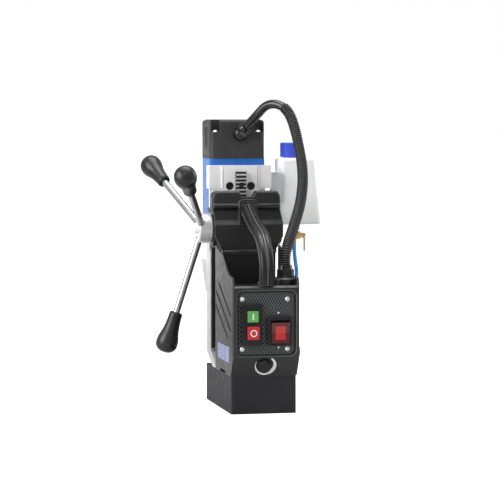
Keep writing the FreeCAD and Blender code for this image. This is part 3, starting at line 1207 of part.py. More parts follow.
def tank_valve():
    x0, x1 = VALVE_X
    y, z = VALVE_Y, VALVE_Z
    barrel = cyl((x0, y, z), X_AXIS, VALVE_R, x1 - x0)
    nut = hexagon((x1 - 9.0, y, z), X_AXIS, 9.0, 5.0)
    stub = cyl((INLET_X, y + 2.0, z), Z_AXIS, 3.2, TANK_Z[0] - 4.0 - z)
    collar = cyl((INLET_X, y + 2.0, TANK_Z[0] - 7.0), Z_AXIS, 5.0, 3.0)
    barb = cyl((OUTLET_X, y, z), Z_AXIS * -1.0, 2.9, 10.0)
    body = fuse([barrel, nut, stub, collar, barb])
    return body.cut(cyl((x1 - 8.0, y, z), X_AXIS, 2.0 + RUN, 20.0))


def valve_lever():
    y, z = VALVE_Y, VALVE_Z
    pin = cyl((VALVE_X[1] - 7.0, y, z), X_AXIS, 2.0, LEVER_X - VALVE_X[1] + 7.0)
    disc = cyl((VALVE_X[1] + 0.5, y, z), X_AXIS, 3.2, 2.4)
    rod = cyl((VALVE_X[1] + 1.7, y, z), Z_AXIS * -1.0, 1.1, 20.0)
    return fuse([pin, disc, rod])


def coolant_hose():
    return swept_tube(HOSE_PATH, HOSE_R)


def hose_fitting():
    x_in = math.sqrt(NOSE_R ** 2) - 2.0
    body = cyl((x_in - 4.0, AXIS_Y, 120.0), X_AXIS, 2.0, 20.0)
    nut = hexagon((NOSE_R + 0.2, AXIS_Y, 120.0), X_AXIS, 8.0, 5.0)
    barb = cyl((NOSE_R, AXIS_Y, 120.0), X_AXIS, 2.9, 14.0)
    return fuse([body, nut, barb])


# ================================================================ leads and glands
def conduit():
    return swept_tube(LEAD_PATH + [LEAD_SPLIT], CONDUIT_R)


def cable_sleeve():
    axis = CAP_GLAND_AXIS * (1.0 / CAP_GLAND_AXIS.Length)
    end = CAP_GLAND + axis * CAP_GLAND_LEN
    last = end + axis * SLEEVE_LAST_RUN
    return swept_tube([LEAD_SPLIT] + SLEEVE_ARCH + [tuple(last), tuple(end)], SLEEVE_R)


def conduit_gland():
    x, y = BOX_GLAND
    z = GLAND_BOSS_Z[1]
    base = cyl((x, y, z), Z_AXIS, 11.0, 2.0)
    nut = hexagon((x, y, z + 2.0), Z_AXIS, 18.5, 7.5)
    nose = Part.makeCone(9.0, 7.6, 5.5, V(x, y, z + 9.5), Z_AXIS)
    spigot = cyl((x, y, z - 16.0), Z_AXIS, 5.9, 17.0)
    return fuse([base, nut, nose, spigot]).cut(cyl((x, y, z - 20.0), Z_AXIS, 4.0, 60.0))


def mains_gland():
    x = BOX_HALF_X
    spigot = cyl((x - 8.0, -30.0, 70.0), X_AXIS, 8.0, 8.5)
    nut = hexagon((x, -30.0, 70.0), X_AXIS, 22.0, 5.0)
    nose = Part.makeCone(9.5, 7.4, 9.0, V(x + 5.0, -30.0, 70.0), X_AXIS)
    return fuse([spigot, nut, nose]).cut(cyl((x - 10.0, -30.0, 70.0), X_AXIS, 4.6, 40.0))


def rating_label():
    y0, y1 = LABEL_Y
    z0, z1 = LABEL_Z
    return box(-BOX_HALF_X, -BOX_HALF_X + LABEL_T, y0 + 0.4, y1 - 0.4, z0 + 0.4, z1 - 0.4)


# ================================================================ export
def main():
    os.makedirs("parts", exist_ok=True)
    nodes = [("magnet_block", magnet_block), ("magnet_coils", magnet_coils), ("magnet_potting", magnet_potting),
             ("magnet_bolts", magnet_bolts), ("stand_housing", stand_housing), ("panel_plate", panel_plate),
             ("panel_screws", panel_screws), ("motor_switch_frame", motor_switch_frame),
             ("rocker_frame", rocker_frame), ("magnet_rocker", magnet_rocker), ("speed_knob", speed_knob),
             ("speed_potentiometer", speed_potentiometer), ("panel_marks", panel_marks),
             ("control_board", control_board), ("carry_handle", carry_handle), ("handle_screws", handle_screws),
             ("conduit_gland", conduit_gland), ("mains_gland", mains_gland), ("guide_frame", guide_frame),
             ("frame_bolts", frame_bolts), ("gib_strip", gib_strip), ("gib_screws", gib_screws),
             ("feed_bushes", feed_bushes), ("rating_label", rating_label), ("pinion_shaft", pinion_shaft),
             ("capstan_hub", capstan_hub), ("hub_screw", hub_screw), ("shaft_retaining_ring", retaining_ring),
             ("slide_plate", slide_plate), ("rack", rack), ("slide_screws", slide_screws),
             ("motor_housing", motor_housing), ("motor_cap", motor_cap), ("cap_screws", cap_screws),
             ("motor_gland", motor_gland), ("stator", stator), ("brush_holders", brush_holders),
             ("armature", armature), ("gearbox_housing", gearbox_housing), ("gearbox_screws", gearbox_screws),
             ("gearbox_bearings", gearbox_bearings), ("intermediate_gear", intermediate_gear),
             ("spindle_arbor", spindle_arbor), ("tank_bracket", tank_bracket), ("coolant_tank", coolant_tank),
             ("tank_cap", tank_cap), ("tank_valve", tank_valve), ("valve_lever", valve_lever),
             ("hose_fitting", hose_fitting), ("coolant_hose", coolant_hose), ("conduit", conduit),
             ("cable_sleeve", cable_sleeve)]
    for name, make in nodes:
        save(name, make())
    save("start_button", push_button(START_BTN, START_FRONT))
    save("stop_button", push_button(STOP_BTN, STOP_FRONT))
    for index in range(len(SPOKE_ANGLES)):
        save("feed_spoke_%d" % (index + 1), feed_spoke(index))
        save("feed_knob_%d" % (index + 1), feed_knob(index))


main()
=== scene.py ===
import math

import bpy
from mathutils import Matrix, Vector


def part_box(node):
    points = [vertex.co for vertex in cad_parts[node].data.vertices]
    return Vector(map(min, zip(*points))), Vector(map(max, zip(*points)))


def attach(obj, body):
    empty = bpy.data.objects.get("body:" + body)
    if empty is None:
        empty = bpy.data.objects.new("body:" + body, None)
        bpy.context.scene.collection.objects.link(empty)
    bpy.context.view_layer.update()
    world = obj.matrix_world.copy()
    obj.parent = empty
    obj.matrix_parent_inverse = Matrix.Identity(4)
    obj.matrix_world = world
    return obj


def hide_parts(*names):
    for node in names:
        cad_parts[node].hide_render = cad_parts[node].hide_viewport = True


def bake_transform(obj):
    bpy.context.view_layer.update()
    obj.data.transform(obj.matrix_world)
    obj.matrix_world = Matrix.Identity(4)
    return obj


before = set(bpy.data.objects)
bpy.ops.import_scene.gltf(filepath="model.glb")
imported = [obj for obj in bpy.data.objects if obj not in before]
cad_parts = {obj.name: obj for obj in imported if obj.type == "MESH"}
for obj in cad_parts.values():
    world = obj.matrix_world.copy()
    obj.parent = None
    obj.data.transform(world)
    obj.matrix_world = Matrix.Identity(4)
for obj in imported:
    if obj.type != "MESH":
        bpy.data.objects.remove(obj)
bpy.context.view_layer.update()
MM = 0.001
SCENE = bpy.context.scene


# ---------------------------------------------------------------- camera
CAMERA_AT = (-0.5681, -2.6902, 0.350)
CAMERA_YAW = -11.922
CAMERA_DOWN = 3.258
CAMERA_LENS = 160.3
SENSOR = 36.0


def add_camera():
    data = bpy.data.cameras.new("camera")
    data.lens = CAMERA_LENS
    data.sensor_width = SENSOR
    data.clip_end = 400.0
    camera = bpy.data.objects.new("camera", data)
    camera.location = CAMERA_AT
    camera.rotation_euler = (math.radians(90.0 - CAMERA_DOWN), 0.0, math.radians(CAMERA_YAW))
    SCENE.collection.objects.link(camera)
    SCENE.camera = camera


add_camera()


# ---------------------------------------------------------------- node finishes
class Finish:
    """A procedural finish: colour, roughness and bump are built up from noise in object space."""

    def __init__(self, name, base, rough, metallic=0.0, specular=0.5, edge=0.0):
        self.mat = bpy.data.materials.new(name)
        self.mat.use_nodes = True
        self.tree = self.mat.node_tree
        self.bsdf = self.tree.nodes["Principled BSDF"]
        self.bsdf.inputs["Base Color"].default_value = (*base, 1.0)
        self.bsdf.inputs["Roughness"].default_value = rough
        self.bsdf.inputs["Metallic"].default_value = metallic
        self.bsdf.inputs["Specular IOR Level"].default_value = specular
        self.coords = self.tree.nodes.new("ShaderNodeTexCoord").outputs["Object"]
        self.normal = None
        if edge:
            bevel = self.tree.nodes.new("ShaderNodeBevel")
            bevel.samples = 4
            bevel.inputs["Radius"].default_value = edge * MM
            self.normal = bevel.outputs["Normal"]

    def value(self, name, number):
        self.bsdf.inputs[name].default_value = number
        return self

    def stretched(self, stretch):
        mapping = self.tree.nodes.new("ShaderNodeMapping")
        mapping.inputs["Scale"].default_value = stretch
        self.tree.links.new(self.coords, mapping.inputs["Vector"])
        return mapping.outputs["Vector"]

    def noise(self, size_mm, detail=3.0, stretch=None):
        node = self.tree.nodes.new("ShaderNodeTexNoise")
        node.inputs["Scale"].default_value = 1.0 / (size_mm * MM)
        node.inputs["Detail"].default_value = detail
        source = self.stretched(stretch) if stretch else self.coords
        self.tree.links.new(source, node.inputs["Vector"])
        return node.outputs["Fac"]

    def cells(self, size_mm):
        node = self.tree.nodes.new("ShaderNodeTexVoronoi")
        node.inputs["Scale"].default_value = 1.0 / (size_mm * MM)
        self.tree.links.new(self.coords, node.inputs["Vector"])
        return node.outputs["Distance"]

    def math(self, operation, first, second=0.0, third=0.0):
        node = self.tree.nodes.new("ShaderNodeMath")
        node.operation = operation
        for socket, item in zip(node.inputs, (first, second, third)):
            if hasattr(item, "is_linked"):
                self.tree.links.new(item, socket)
            else:
                socket.default_value = item
        return node.outputs[0]

    def axis(self, name):
        node = self.tree.nodes.new("ShaderNodeSeparateXYZ")
        self.tree.links.new(self.coords, node.inputs[0])
        return node.outputs[name]

    def ramp(self, source, low, high, from_low, from_high):
        node = self.tree.nodes.new("ShaderNodeMapRange")
        node.inputs["From Min"].default_value = from_low
        node.inputs["From Max"].default_value = from_high
        node.inputs["To Min"].default_value = low
        node.inputs["To Max"].default_value = high
        self.tree.links.new(source, node.inputs["Value"])
        return node.outputs["Result"]

    def blend(self, factor, first, second):
        node = self.tree.nodes.new("ShaderNodeMix")
        node.data_type = "RGBA"
        self.tree.links.new(factor, node.inputs["Factor"])
        sockets = [s for s in node.inputs if s.type == "RGBA"]
        for socket, item in zip(sockets, (first, second)):
            if hasattr(item, "is_linked"):
                self.tree.links.new(item, socket)
            else:
                socket.default_value = (*item, 1.0)
        return [s for s in node.outputs if s.type == "RGBA"][0]

    def colour(self, source):
        self.tree.links.new(source, self.bsdf.inputs["Base Color"])
        return self

    def tint(self, source, dark, light, low=0.3, high=0.7):
        return self.colour(self.blend(self.ramp(source, 0.0, 1.0, low, high), dark, light))

    def rough(self, source, low, high):
        self.tree.links.new(self.ramp(source, low, high, 0.3, 0.7), self.bsdf.inputs["Roughness"])
        return self

    def bump(self, source, height_mm, strength=1.0):
        node = self.tree.nodes.new("ShaderNodeBump")
        node.inputs["Strength"].default_value = strength
        node.inputs["Distance"].default_value = height_mm * MM
        self.tree.links.new(source, node.inputs["Height"])
        if self.normal is not None:
            self.tree.links.new(self.normal, node.inputs["Normal"])
        self.normal = node.outputs["Normal"]
        return self

    def sharp_edges(self, radius_mm):
        """1 along sharp edges, 0 on open faces."""
        bevel = self.tree.nodes.new("ShaderNodeBevel")
        bevel.samples = 6
        bevel.inputs["Radius"].default_value = radius_mm * MM
        surface = self.tree.nodes.new("ShaderNodeNewGeometry")
        dot = self.tree.nodes.new("ShaderNodeVectorMath")
        dot.operation = "DOT_PRODUCT"
        self.tree.links.new(bevel.outputs["Normal"], dot.inputs[0])
        self.tree.links.new(surface.outputs["Normal"], dot.inputs[1])
        return self.ramp(dot.outputs["Value"], 1.0, 0.0, 0.86, 0.995)

    def crests(self):
        """0 in the valleys of a tube, 1 on its ribs."""
        node = self.tree.nodes.new("ShaderNodeAttribute")
        node.attribute_name = "crest"
        return node.outputs["Fac"]

    def done(self):
        if self.normal is not None:
            self.tree.links.new(self.normal, self.bsdf.inputs["Normal"])
        return self.mat


CLOUD_MM = 22.0


def moulded(name, dark, light, rough, grain_mm, grain_h, specular=0.5, edge=0.5):
    """Plastic or powder coat: a fine grain, cloudy colour and uneven gloss."""
    mid = [(a + b) / 2.0 for a, b in zip(dark, light)]
    f = Finish(name, mid, sum(rough) / 2.0, specular=specular, edge=edge)
    f.tint(f.noise(CLOUD_MM, 5.0), dark, light)
    f.rough(f.noise(CLOUD_MM * 0.4, 4.0), *rough)
    f.bump(f.noise(grain_mm, 2.0), grain_h)
    return f


def metal(name, dark, light, rough, stretch, line_mm=0.6, line_h=0.004, edge=0.3):
    """Metal with tool lines along one axis."""
    mid = [(a + b) / 2.0 for a, b in zip(dark, light)]
    f = Finish(name, mid, sum(rough) / 2.0, metallic=1.0, edge=edge)
    f.tint(f.noise(14.0, 4.0), dark, light)
    f.rough(f.noise(line_mm * 2.0, 3.0, stretch), *rough)
    f.bump(f.noise(line_mm, 3.0, stretch), line_h)
    return f


def black_casting():
    f = Finish("black_casting", (0.010, 0.010, 0.0105), 0.4, specular=0.55, edge=1.0)
    coarse = f.noise(2.4, 3.0)
    body = f.blend(f.ramp(coarse, 0.0, 1.0, 0.35, 0.68), (0.004, 0.004, 0.0045), (0.012, 0.012, 0.0125))
    # painted highlight: every sharp edge, concave ones too, is painted light grey as a bright line
    f.colour(f.blend(f.sharp_edges(1.1), body, (0.16, 0.16, 0.16)))
    f.rough(f.noise(9.0, 4.0), 0.34, 0.48)
    f.bump(f.cells(1.5), 0.10, 0.7)
    f.bump(f.noise(0.8, 2.0), 0.06, 0.6)
    return f.done()


def magnet_paint():
    f = Finish("magnet_paint", (0.02, 0.02, 0.022), 0.55, specular=0.16, edge=0.8)
    f.tint(f.noise(40.0, 5.0), (0.022, 0.022, 0.024), (0.030, 0.030, 0.033))
    f.rough(f.noise(6.0, 5.0), 0.48, 0.64)
    f.bump(f.noise(0.9, 3.0), 0.03, 0.6)
    f.bump(f.noise(7.0, 2.0), 0.05, 0.4)
    return f.done()


def panel_black():
    """Printed foil with staggered rows of dark diamonds."""
    f = Finish("panel_black", (0.05, 0.055, 0.06), 0.42, specular=0.3, edge=0.4)
    x = f.math("MULTIPLY", f.axis("X"), math.pi / (3.3 * MM))
    z = f.math("MULTIPLY", f.axis("Z"), math.pi / (5.6 * MM))
    first = f.math("SINE", f.math("ADD", x, z))
    second = f.math("SINE", f.math("SUBTRACT", x, z))
    grid = f.ramp(f.math("ABSOLUTE", f.math("MULTIPLY", first, second)), 0.0, 1.0, 0.25, 0.65)
    f.colour(f.blend(grid, (0.095, 0.099, 0.101), (0.004, 0.004, 0.005)))
    f.rough(f.noise(5.0, 4.0), 0.35, 0.5)
    f.bump(grid, -0.20, 0.8)
    return f.done()


def rubber_handle():
    """Black rubber with a groove along each side of its middle; the ridge between the grooves and the sharp
    edges are painted light grey as highlights.
    """
    f = Finish("handle_rubber", (0.012, 0.012, 0.013), 0.38, specular=0.32, edge=0.6)
    low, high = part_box("carry_handle")
    off = f.math("ABSOLUTE", f.math("SUBTRACT", f.axis("X"), (low.x + high.x) / 2.0))
    near = f.math("ABSOLUTE", f.math("SUBTRACT", off, 1.6 * MM))
    groove = f.ramp(near, 1.0, 0.0, 0.0, 0.7 * MM)
    cloud = f.ramp(f.noise(16.0, 4.0), 0.0, 1.0, 0.3, 0.7)
    body = f.blend(cloud, (0.006, 0.006, 0.007), (0.014, 0.014, 0.015))
    # painted highlight: a light line down the middle ridge, plus light lines along the sharp edges
    centre_highlight = f.ramp(off, 1.0, 0.0, 0.3 * MM, 0.9 * MM)
    lines = f.math("MAXIMUM", f.sharp_edges(1.0), f.math("MULTIPLY", centre_highlight, 0.35))
    f.colour(f.blend(lines, body, (0.30, 0.30, 0.30)))
    f.rough(f.noise(3.0, 4.0), 0.26, 0.42)
    f.bump(groove, -0.9, 1.0)
    f.bump(f.noise(1.1, 3.0), 0.06, 0.7)
    return f.done()


def label_print():
    """A blank rating plate: a thick dark border, a pale field and unlettered blocks."""
    f = Finish("label_blue", (0.4, 0.45, 0.6), 0.35, specular=0.25, edge=0.1)
    low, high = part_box("rating_label")
    y, z = f.axis("Y"), f.axis("Z")
    mid_y, mid_z = (low.y + high.y) / 2.0, (low.z + high.z) / 2.0
    half_y, half_z = (high.y - low.y) / 2.0, (high.z - low.z) / 2.0
    off_y = f.math("ABSOLUTE", f.math("SUBTRACT", y, mid_y))
    off_z = f.math("ABSOLUTE", f.math("SUBTRACT", z, mid_z))
    in_y = f.math("LESS_THAN", off_y, half_y - 3.2 * MM)
    in_z = f.math("LESS_THAN", off_z, half_z - 2.2 * MM)
    field = f.math("MULTIPLY", in_y, in_z)
    row_wave = f.math("SINE", f.math("MULTIPLY", z, 2.0 * math.pi / (4.2 * MM)))
    half_wave = f.math("SINE", f.math("MULTIPLY", y, 2.0 * math.pi / (26.0 * MM)))
    rows = f.math("GREATER_THAN", row_wave, 0.1)
    halves = f.math("GREATER_THAN", half_wave, 0.25)
    blocks = f.math("MULTIPLY", rows, halves)
    cloud = f.ramp(f.noise(5.0, 2.0), 0.0, 1.0, 0.35, 0.65)
    print_colour = f.blend(blocks, (0.20, 0.23, 0.38), (0.06, 0.08, 0.20))
    wear_and_highlight = f.blend(f.math("MULTIPLY", cloud, 0.3), print_colour, (0.26, 0.29, 0.42))
    f.colour(f.blend(field, (0.012, 0.012, 0.014), wear_and_highlight))
    f.rough(f.noise(8.0, 3.0), 0.28, 0.42)
    f.bump(f.noise(2.0, 2.0), 0.02, 0.5)
    return f.done()


def tank_white():
    f = Finish("tank_white", (0.70, 0.70, 0.70), 0.33, specular=0.4, edge=1.2)
    f.tint(f.noise(35.0, 4.0), (0.86, 0.86, 0.86), (0.95, 0.95, 0.945))
    f.rough(f.noise(12.0, 3.0), 0.28, 0.42)
    f.bump(f.noise(1.6, 2.0), 0.02, 0.5)
    f.value("Subsurface Weight", 0.15).value("Subsurface Scale", 0.003)
    return f.done()


def cap_blue():
    """Moulded blue cap: fine knurl lines round its centre line, painted lighter on the raised dots as a
    highlight and darker between them as shade.
    """
    low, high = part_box("tank_cap")
    cx, cy = (low.x + high.x) / 2.0, (low.y + high.y) / 2.0
    f = Finish("cap_blue", (0.03, 0.07, 0.55), 0.35, specular=0.3, edge=0.5)
    dx = f.math("SUBTRACT", f.axis("X"), cx)
    dy = f.math("SUBTRACT", f.axis("Y"), cy)
    turn = f.math("ARCTAN2", dy, dx)
    ribs = f.math("SINE", f.math("MULTIPLY", turn, 26.0))
    rows = f.math("SINE", f.math("MULTIPLY", f.axis("Z"), 2.0 * math.pi / (3.4 * MM)))
    dots = f.ramp(f.math("MULTIPLY", ribs, rows), 0.0, 1.0, 0.1, 0.7)
    # painted highlight on the raised knurl dots, painted shade in the hollows between them
    f.colour(f.blend(dots, (0.020, 0.050, 0.55), (0.110, 0.22, 0.95)))
    f.rough(f.noise(4.0, 3.0), 0.28, 0.42)
    f.bump(dots, 0.25, 0.8)
    return f.done()


def rocker_red():
    """Lit lens: a bright waisted window inside a dark red translucent border."""
    f = Finish("red_lens", (0.70, 0.02, 0.015), 0.18, specular=0.5, edge=0.5)
    low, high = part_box("magnet_rocker")
    mid_x, mid_z = (low.x + high.x) / 2.0, (low.z + high.z) / 2.0
    half_x, half_z = (high.x - low.x) / 2.0, (high.z - low.z) / 2.0
    off_x = f.math("DIVIDE", f.math("ABSOLUTE", f.math("SUBTRACT", f.axis("X"), mid_x)), half_x)
    off_z = f.math("DIVIDE", f.math("ABSOLUTE", f.math("SUBTRACT", f.axis("Z"), mid_z)), half_z)
    waist = f.math("ADD", 0.52, f.math("MULTIPLY", f.math("MULTIPLY", off_z, off_z), 0.16))
    side = f.ramp(f.math("SUBTRACT", waist, off_x), 0.0, 1.0, 0.0, 0.10)
    ends = f.ramp(f.math("SUBTRACT", 0.66, off_z), 0.0, 1.0, 0.0, 0.08)
    window = f.math("MULTIPLY", side, ends)
    cloud = f.blend(f.noise(7.0, 3.0), (0.46, 0.014, 0.013), (0.60, 0.030, 0.026))
    f.colour(f.blend(window, (0.085, 0.008, 0.008), cloud))
    f.rough(f.noise(5.0, 3.0), 0.12, 0.25)
    f.bump(window, 0.35, 0.7)
    f.bump(f.noise(3.0, 2.0), 0.02, 0.4)
    f.value("Coat Weight", 0.15).value("Coat Roughness", 0.08)
    f.value("Subsurface Weight", 0.1).value("Subsurface Scale", 0.003)
    return f.done()


def marked_button(name, node, dark, light, ring):
    """A push button with a printed white mark in the middle of its face: a ring or an upright bar."""
    low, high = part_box(node)
    f = Finish(name, light, 0.32, specular=0.5, edge=0.5)
    off_x = f.math("ABSOLUTE", f.math("SUBTRACT", f.axis("X"), (low.x + high.x) / 2.0))
    off_z = f.math("ABSOLUTE", f.math("SUBTRACT", f.axis("Z"), (low.z + high.z) / 2.0))
    if ring:
        squares = f.math("ADD", f.math("MULTIPLY", off_x, off_x), f.math("MULTIPLY", off_z, off_z))
        away = f.math("ABSOLUTE", f.math("SUBTRACT", f.math("SQRT", squares), 3.6 * MM))
        mark = f.ramp(away, 1.0, 0.0, 0.45 * MM, 0.75 * MM)
    else:
        across = f.ramp(off_x, 1.0, 0.0, 0.7 * MM, 1.0 * MM)
        along = f.ramp(off_z, 1.0, 0.0, 3.6 * MM, 3.9 * MM)
        mark = f.math("MULTIPLY", across, along)
    plastic = f.blend(f.ramp(f.noise(22.0, 5.0), 0.0, 1.0, 0.3, 0.7), dark, light)
    f.colour(f.blend(mark, plastic, (0.80, 0.82, 0.80)))
    f.rough(f.noise(9.0, 4.0), 0.25, 0.40)
    f.bump(f.noise(0.7, 2.0), 0.015)
    return f.done()


def corrugated_plastic():
    """Black conduit plastic: painted a little lighter along its ribs as a highlight and near black in the
    valleys as shade.
    """
    f = Finish("conduit_black", (0.006, 0.006, 0.0065), 0.2, specular=0.8)
    crest = f.ramp(f.crests(), 0.0, 1.0, 0.45, 0.95)
    # painted highlight on the rib crests and painted shade in the valleys, broken up by noise
    rib_highlight = f.math("MULTIPLY", f.math("POWER", crest, 3.0), f.ramp(f.noise(6.0, 3.0), 0.6, 1.0, 0.3, 0.7))
    f.colour(f.blend(rib_highlight, (0.0005, 0.0005, 0.0005), (0.075, 0.075, 0.078)))
    uneven = f.math("MULTIPLY", f.noise(5.0, 4.0), 0.12)
    gloss = f.math("ADD", f.ramp(crest, 0.85, 0.10, 0.0, 1.0), uneven)
    f.tree.links.new(gloss, f.bsdf.inputs["Roughness"])
    f.bump(f.noise(1.5, 2.0), 0.02)
    return f.done()


def toothed_steel():
    """Rack steel: painted bright on the tooth tips as a highlight, painted near black between them as shade.
    """
    f = Finish("rack_steel", (0.3, 0.3, 0.3), 0.38, metallic=0.5, edge=0.2)
    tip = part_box("rack")[0].y
    # painted highlight on the tooth tips, painted shade in the roots between the teeth
    depth = f.ramp(f.axis("Y"), 1.0, 0.0, tip + 1.2 * MM, tip + 2.7 * MM)
    wear_and_highlight = f.blend(f.noise(3.0, 3.0), (0.42, 0.42, 0.42), (0.66, 0.66, 0.66))
    f.colour(f.blend(depth, (0.015, 0.015, 0.016), wear_and_highlight))
    f.rough(f.noise(1.5, 3.0), 0.30, 0.46)
    f.bump(f.noise(0.6, 3.0), 0.01)
    return f.done()


def turned(name, dark, light, rough, centre_axis):
    """Turned metal with rings across its axis."""
    stretch = {"X": (1.0, 0.02, 0.02), "Y": (0.02, 1.0, 0.02), "Z": (0.02, 0.02, 1.0)}[centre_axis]
    return metal(name, dark, light, rough, stretch, 0.35, 0.004)


def translucent_hose():
    f = moulded("hose_blue", (0.05, 0.30, 0.80), (0.09, 0.40, 0.90), (0.18, 0.30), 2.0, 0.02, 0.5, 0.0)
    f.value("Subsurface Weight", 0.25).value("Subsurface Scale", 0.002)
    return f.done()


def stacked_sheet():
    f = metal("lamination", (0.22, 0.22, 0.24), (0.34, 0.34, 0.36), (0.35, 0.5), (0.05, 0.05, 1.0))
    f.bump(f.math("SINE", f.math("MULTIPLY", f.axis("Z"), 2.0 * math.pi / MM)), 0.08, 0.8)
    return f.done()


def circuit_board():
    f = Finish("board_green", (0.02, 0.12, 0.05), 0.35, edge=0.2)
    f.tint(f.cells(3.0), (0.012, 0.08, 0.032), (0.03, 0.17, 0.07), 0.2, 0.5)
    f.rough(f.noise(4.0, 3.0), 0.28, 0.45)
    f.bump(f.cells(2.0), 0.05, 0.5)
    return f.done()


def winding():
    f = metal("copper_winding", (0.50, 0.22, 0.08), (0.70, 0.34, 0.15), (0.25, 0.4), (1.0, 1.0, 1.0))
    f.bump(f.math("SINE", f.math("MULTIPLY", f.axis("Z"), 2.0 * math.pi / (0.9 * MM))), 0.15, 0.8)
    return f.done()


FINISHES = {
    "black_casting": black_casting(),
    "magnet_paint": magnet_paint(),
    "copper_winding": winding(),
    "resin": moulded("resin", (0.05, 0.045, 0.04), (0.09, 0.08, 0.07), (0.4, 0.6), 1.5, 0.05).done(),
    "zinc_screw": metal("zinc_screw", (0.80, 0.80, 0.78), (0.95, 0.95, 0.93), (0.34, 0.48), (1, 1, 1),
                        1.2).value("Metallic", 0.5).done(),
    "black_screw": metal("black_screw", (0.035, 0.035, 0.038), (0.07, 0.07, 0.075), (0.32, 0.5), (1, 1, 1),
                         1.0).done(),
    "panel_black": panel_black(),
    "switch_black": moulded("switch_black", (0.006, 0.006, 0.007), (0.013, 0.013, 0.015), (0.16, 0.28),
                            1.4, 0.02, 0.35).done(),
    "green_plastic": marked_button("green_plastic", "start_button", (0.085, 0.36, 0.070), (0.12, 0.45, 0.10),
                                   False),
    "red_plastic": marked_button("red_plastic", "stop_button", (0.42, 0.014, 0.020), (0.54, 0.024, 0.030),
                                 True),
    "red_lens": rocker_red(),
    "knob_black": moulded("knob_black", (0.010, 0.010, 0.011), (0.020, 0.020, 0.021), (0.36, 0.50),
                          0.8, 0.04, 0.28).done(),
    "white_print": moulded("white_print", (0.78, 0.78, 0.77), (0.86, 0.86, 0.86), (0.4, 0.55),
                           0.8, 0.01, 0.4, 0.1).done(),
    "board_green": circuit_board(),
    "handle_rubber": rubber_handle(),
    "aluminium_machined": metal("aluminium_machined", (0.86, 0.86, 0.865), (0.96, 0.96, 0.96), (0.38, 0.52),
                                (1.0, 1.0, 0.04), 0.7, 0.004).value("Metallic", 0.35).done(),
    "frame_alloy": metal("frame_alloy", (0.50, 0.50, 0.505), (0.62, 0.62, 0.62), (0.36, 0.50),
                         (1.0, 1.0, 0.04), 0.7, 0.004).value("Metallic", 0.4).done(),
    "hub_alloy": metal("hub_alloy", (0.62, 0.62, 0.625), (0.76, 0.76, 0.765), (0.30, 0.44),
                       (1.0, 0.05, 0.05), 0.5, 0.006).value("Metallic", 0.6).done(),
    "bronze": turned("bronze", (0.50, 0.34, 0.15), (0.66, 0.48, 0.24), (0.28, 0.42), "X").done(),
    "steel_ground": metal("steel_ground", (0.46, 0.46, 0.47), (0.62, 0.62, 0.63), (0.25, 0.38),
                          (1.0, 0.05, 1.0), 0.5, 0.004).done(),
    "rack_steel": toothed_steel(),
    "chrome_rod": metal("chrome_rod", (0.42, 0.42, 0.43), (0.56, 0.56, 0.57), (0.26, 0.36),
                        (1.0, 1.0, 1.0), 3.0, 0.002).done(),
    "grip_black": moulded("grip_black", (0.009, 0.009, 0.010), (0.020, 0.020, 0.021), (0.26, 0.40),
                          1.0, 0.03, 0.40, 0.4).done(),
    "motor_blue": moulded("motor_blue", (0.014, 0.105, 0.40), (0.024, 0.140, 0.48), (0.34, 0.48),
                          0.8, 0.03, 0.26, 0.8).done(),
    "cap_black": moulded("cap_black", (0.028, 0.028, 0.029), (0.044, 0.044, 0.045), (0.46, 0.60),
                         0.9, 0.05, 0.28, 0.7).done(),
    "lamination": stacked_sheet(),
    "gearbox_alloy": metal("gearbox_alloy", (0.66, 0.67, 0.68), (0.82, 0.83, 0.84), (0.30, 0.46),
                           (1.0, 1.0, 0.3), 1.1, 0.02, 0.8).done(),
    "tank_white": tank_white(),
    "cap_blue": cap_blue(),
    "valve_brass": turned("valve_brass", (0.56, 0.38, 0.14), (0.74, 0.55, 0.26), (0.22, 0.36), "X").done(),
    "hose_blue": translucent_hose(),
    "conduit_black": corrugated_plastic(),
    "gland_black": moulded("gland_black", (0.004, 0.004, 0.0045), (0.009, 0.009, 0.010), (0.14, 0.26),
                           1.0, 0.02, 0.5, 0.4).done(),
    "label_blue": label_print(),
    "bracket_grey": metal("bracket_grey", (0.60, 0.61, 0.62), (0.72, 0.73, 0.74), (0.38, 0.52),
                          (1.0, 1.0, 0.1), 0.8, 0.006).value("Metallic", 0.4).done(),
}
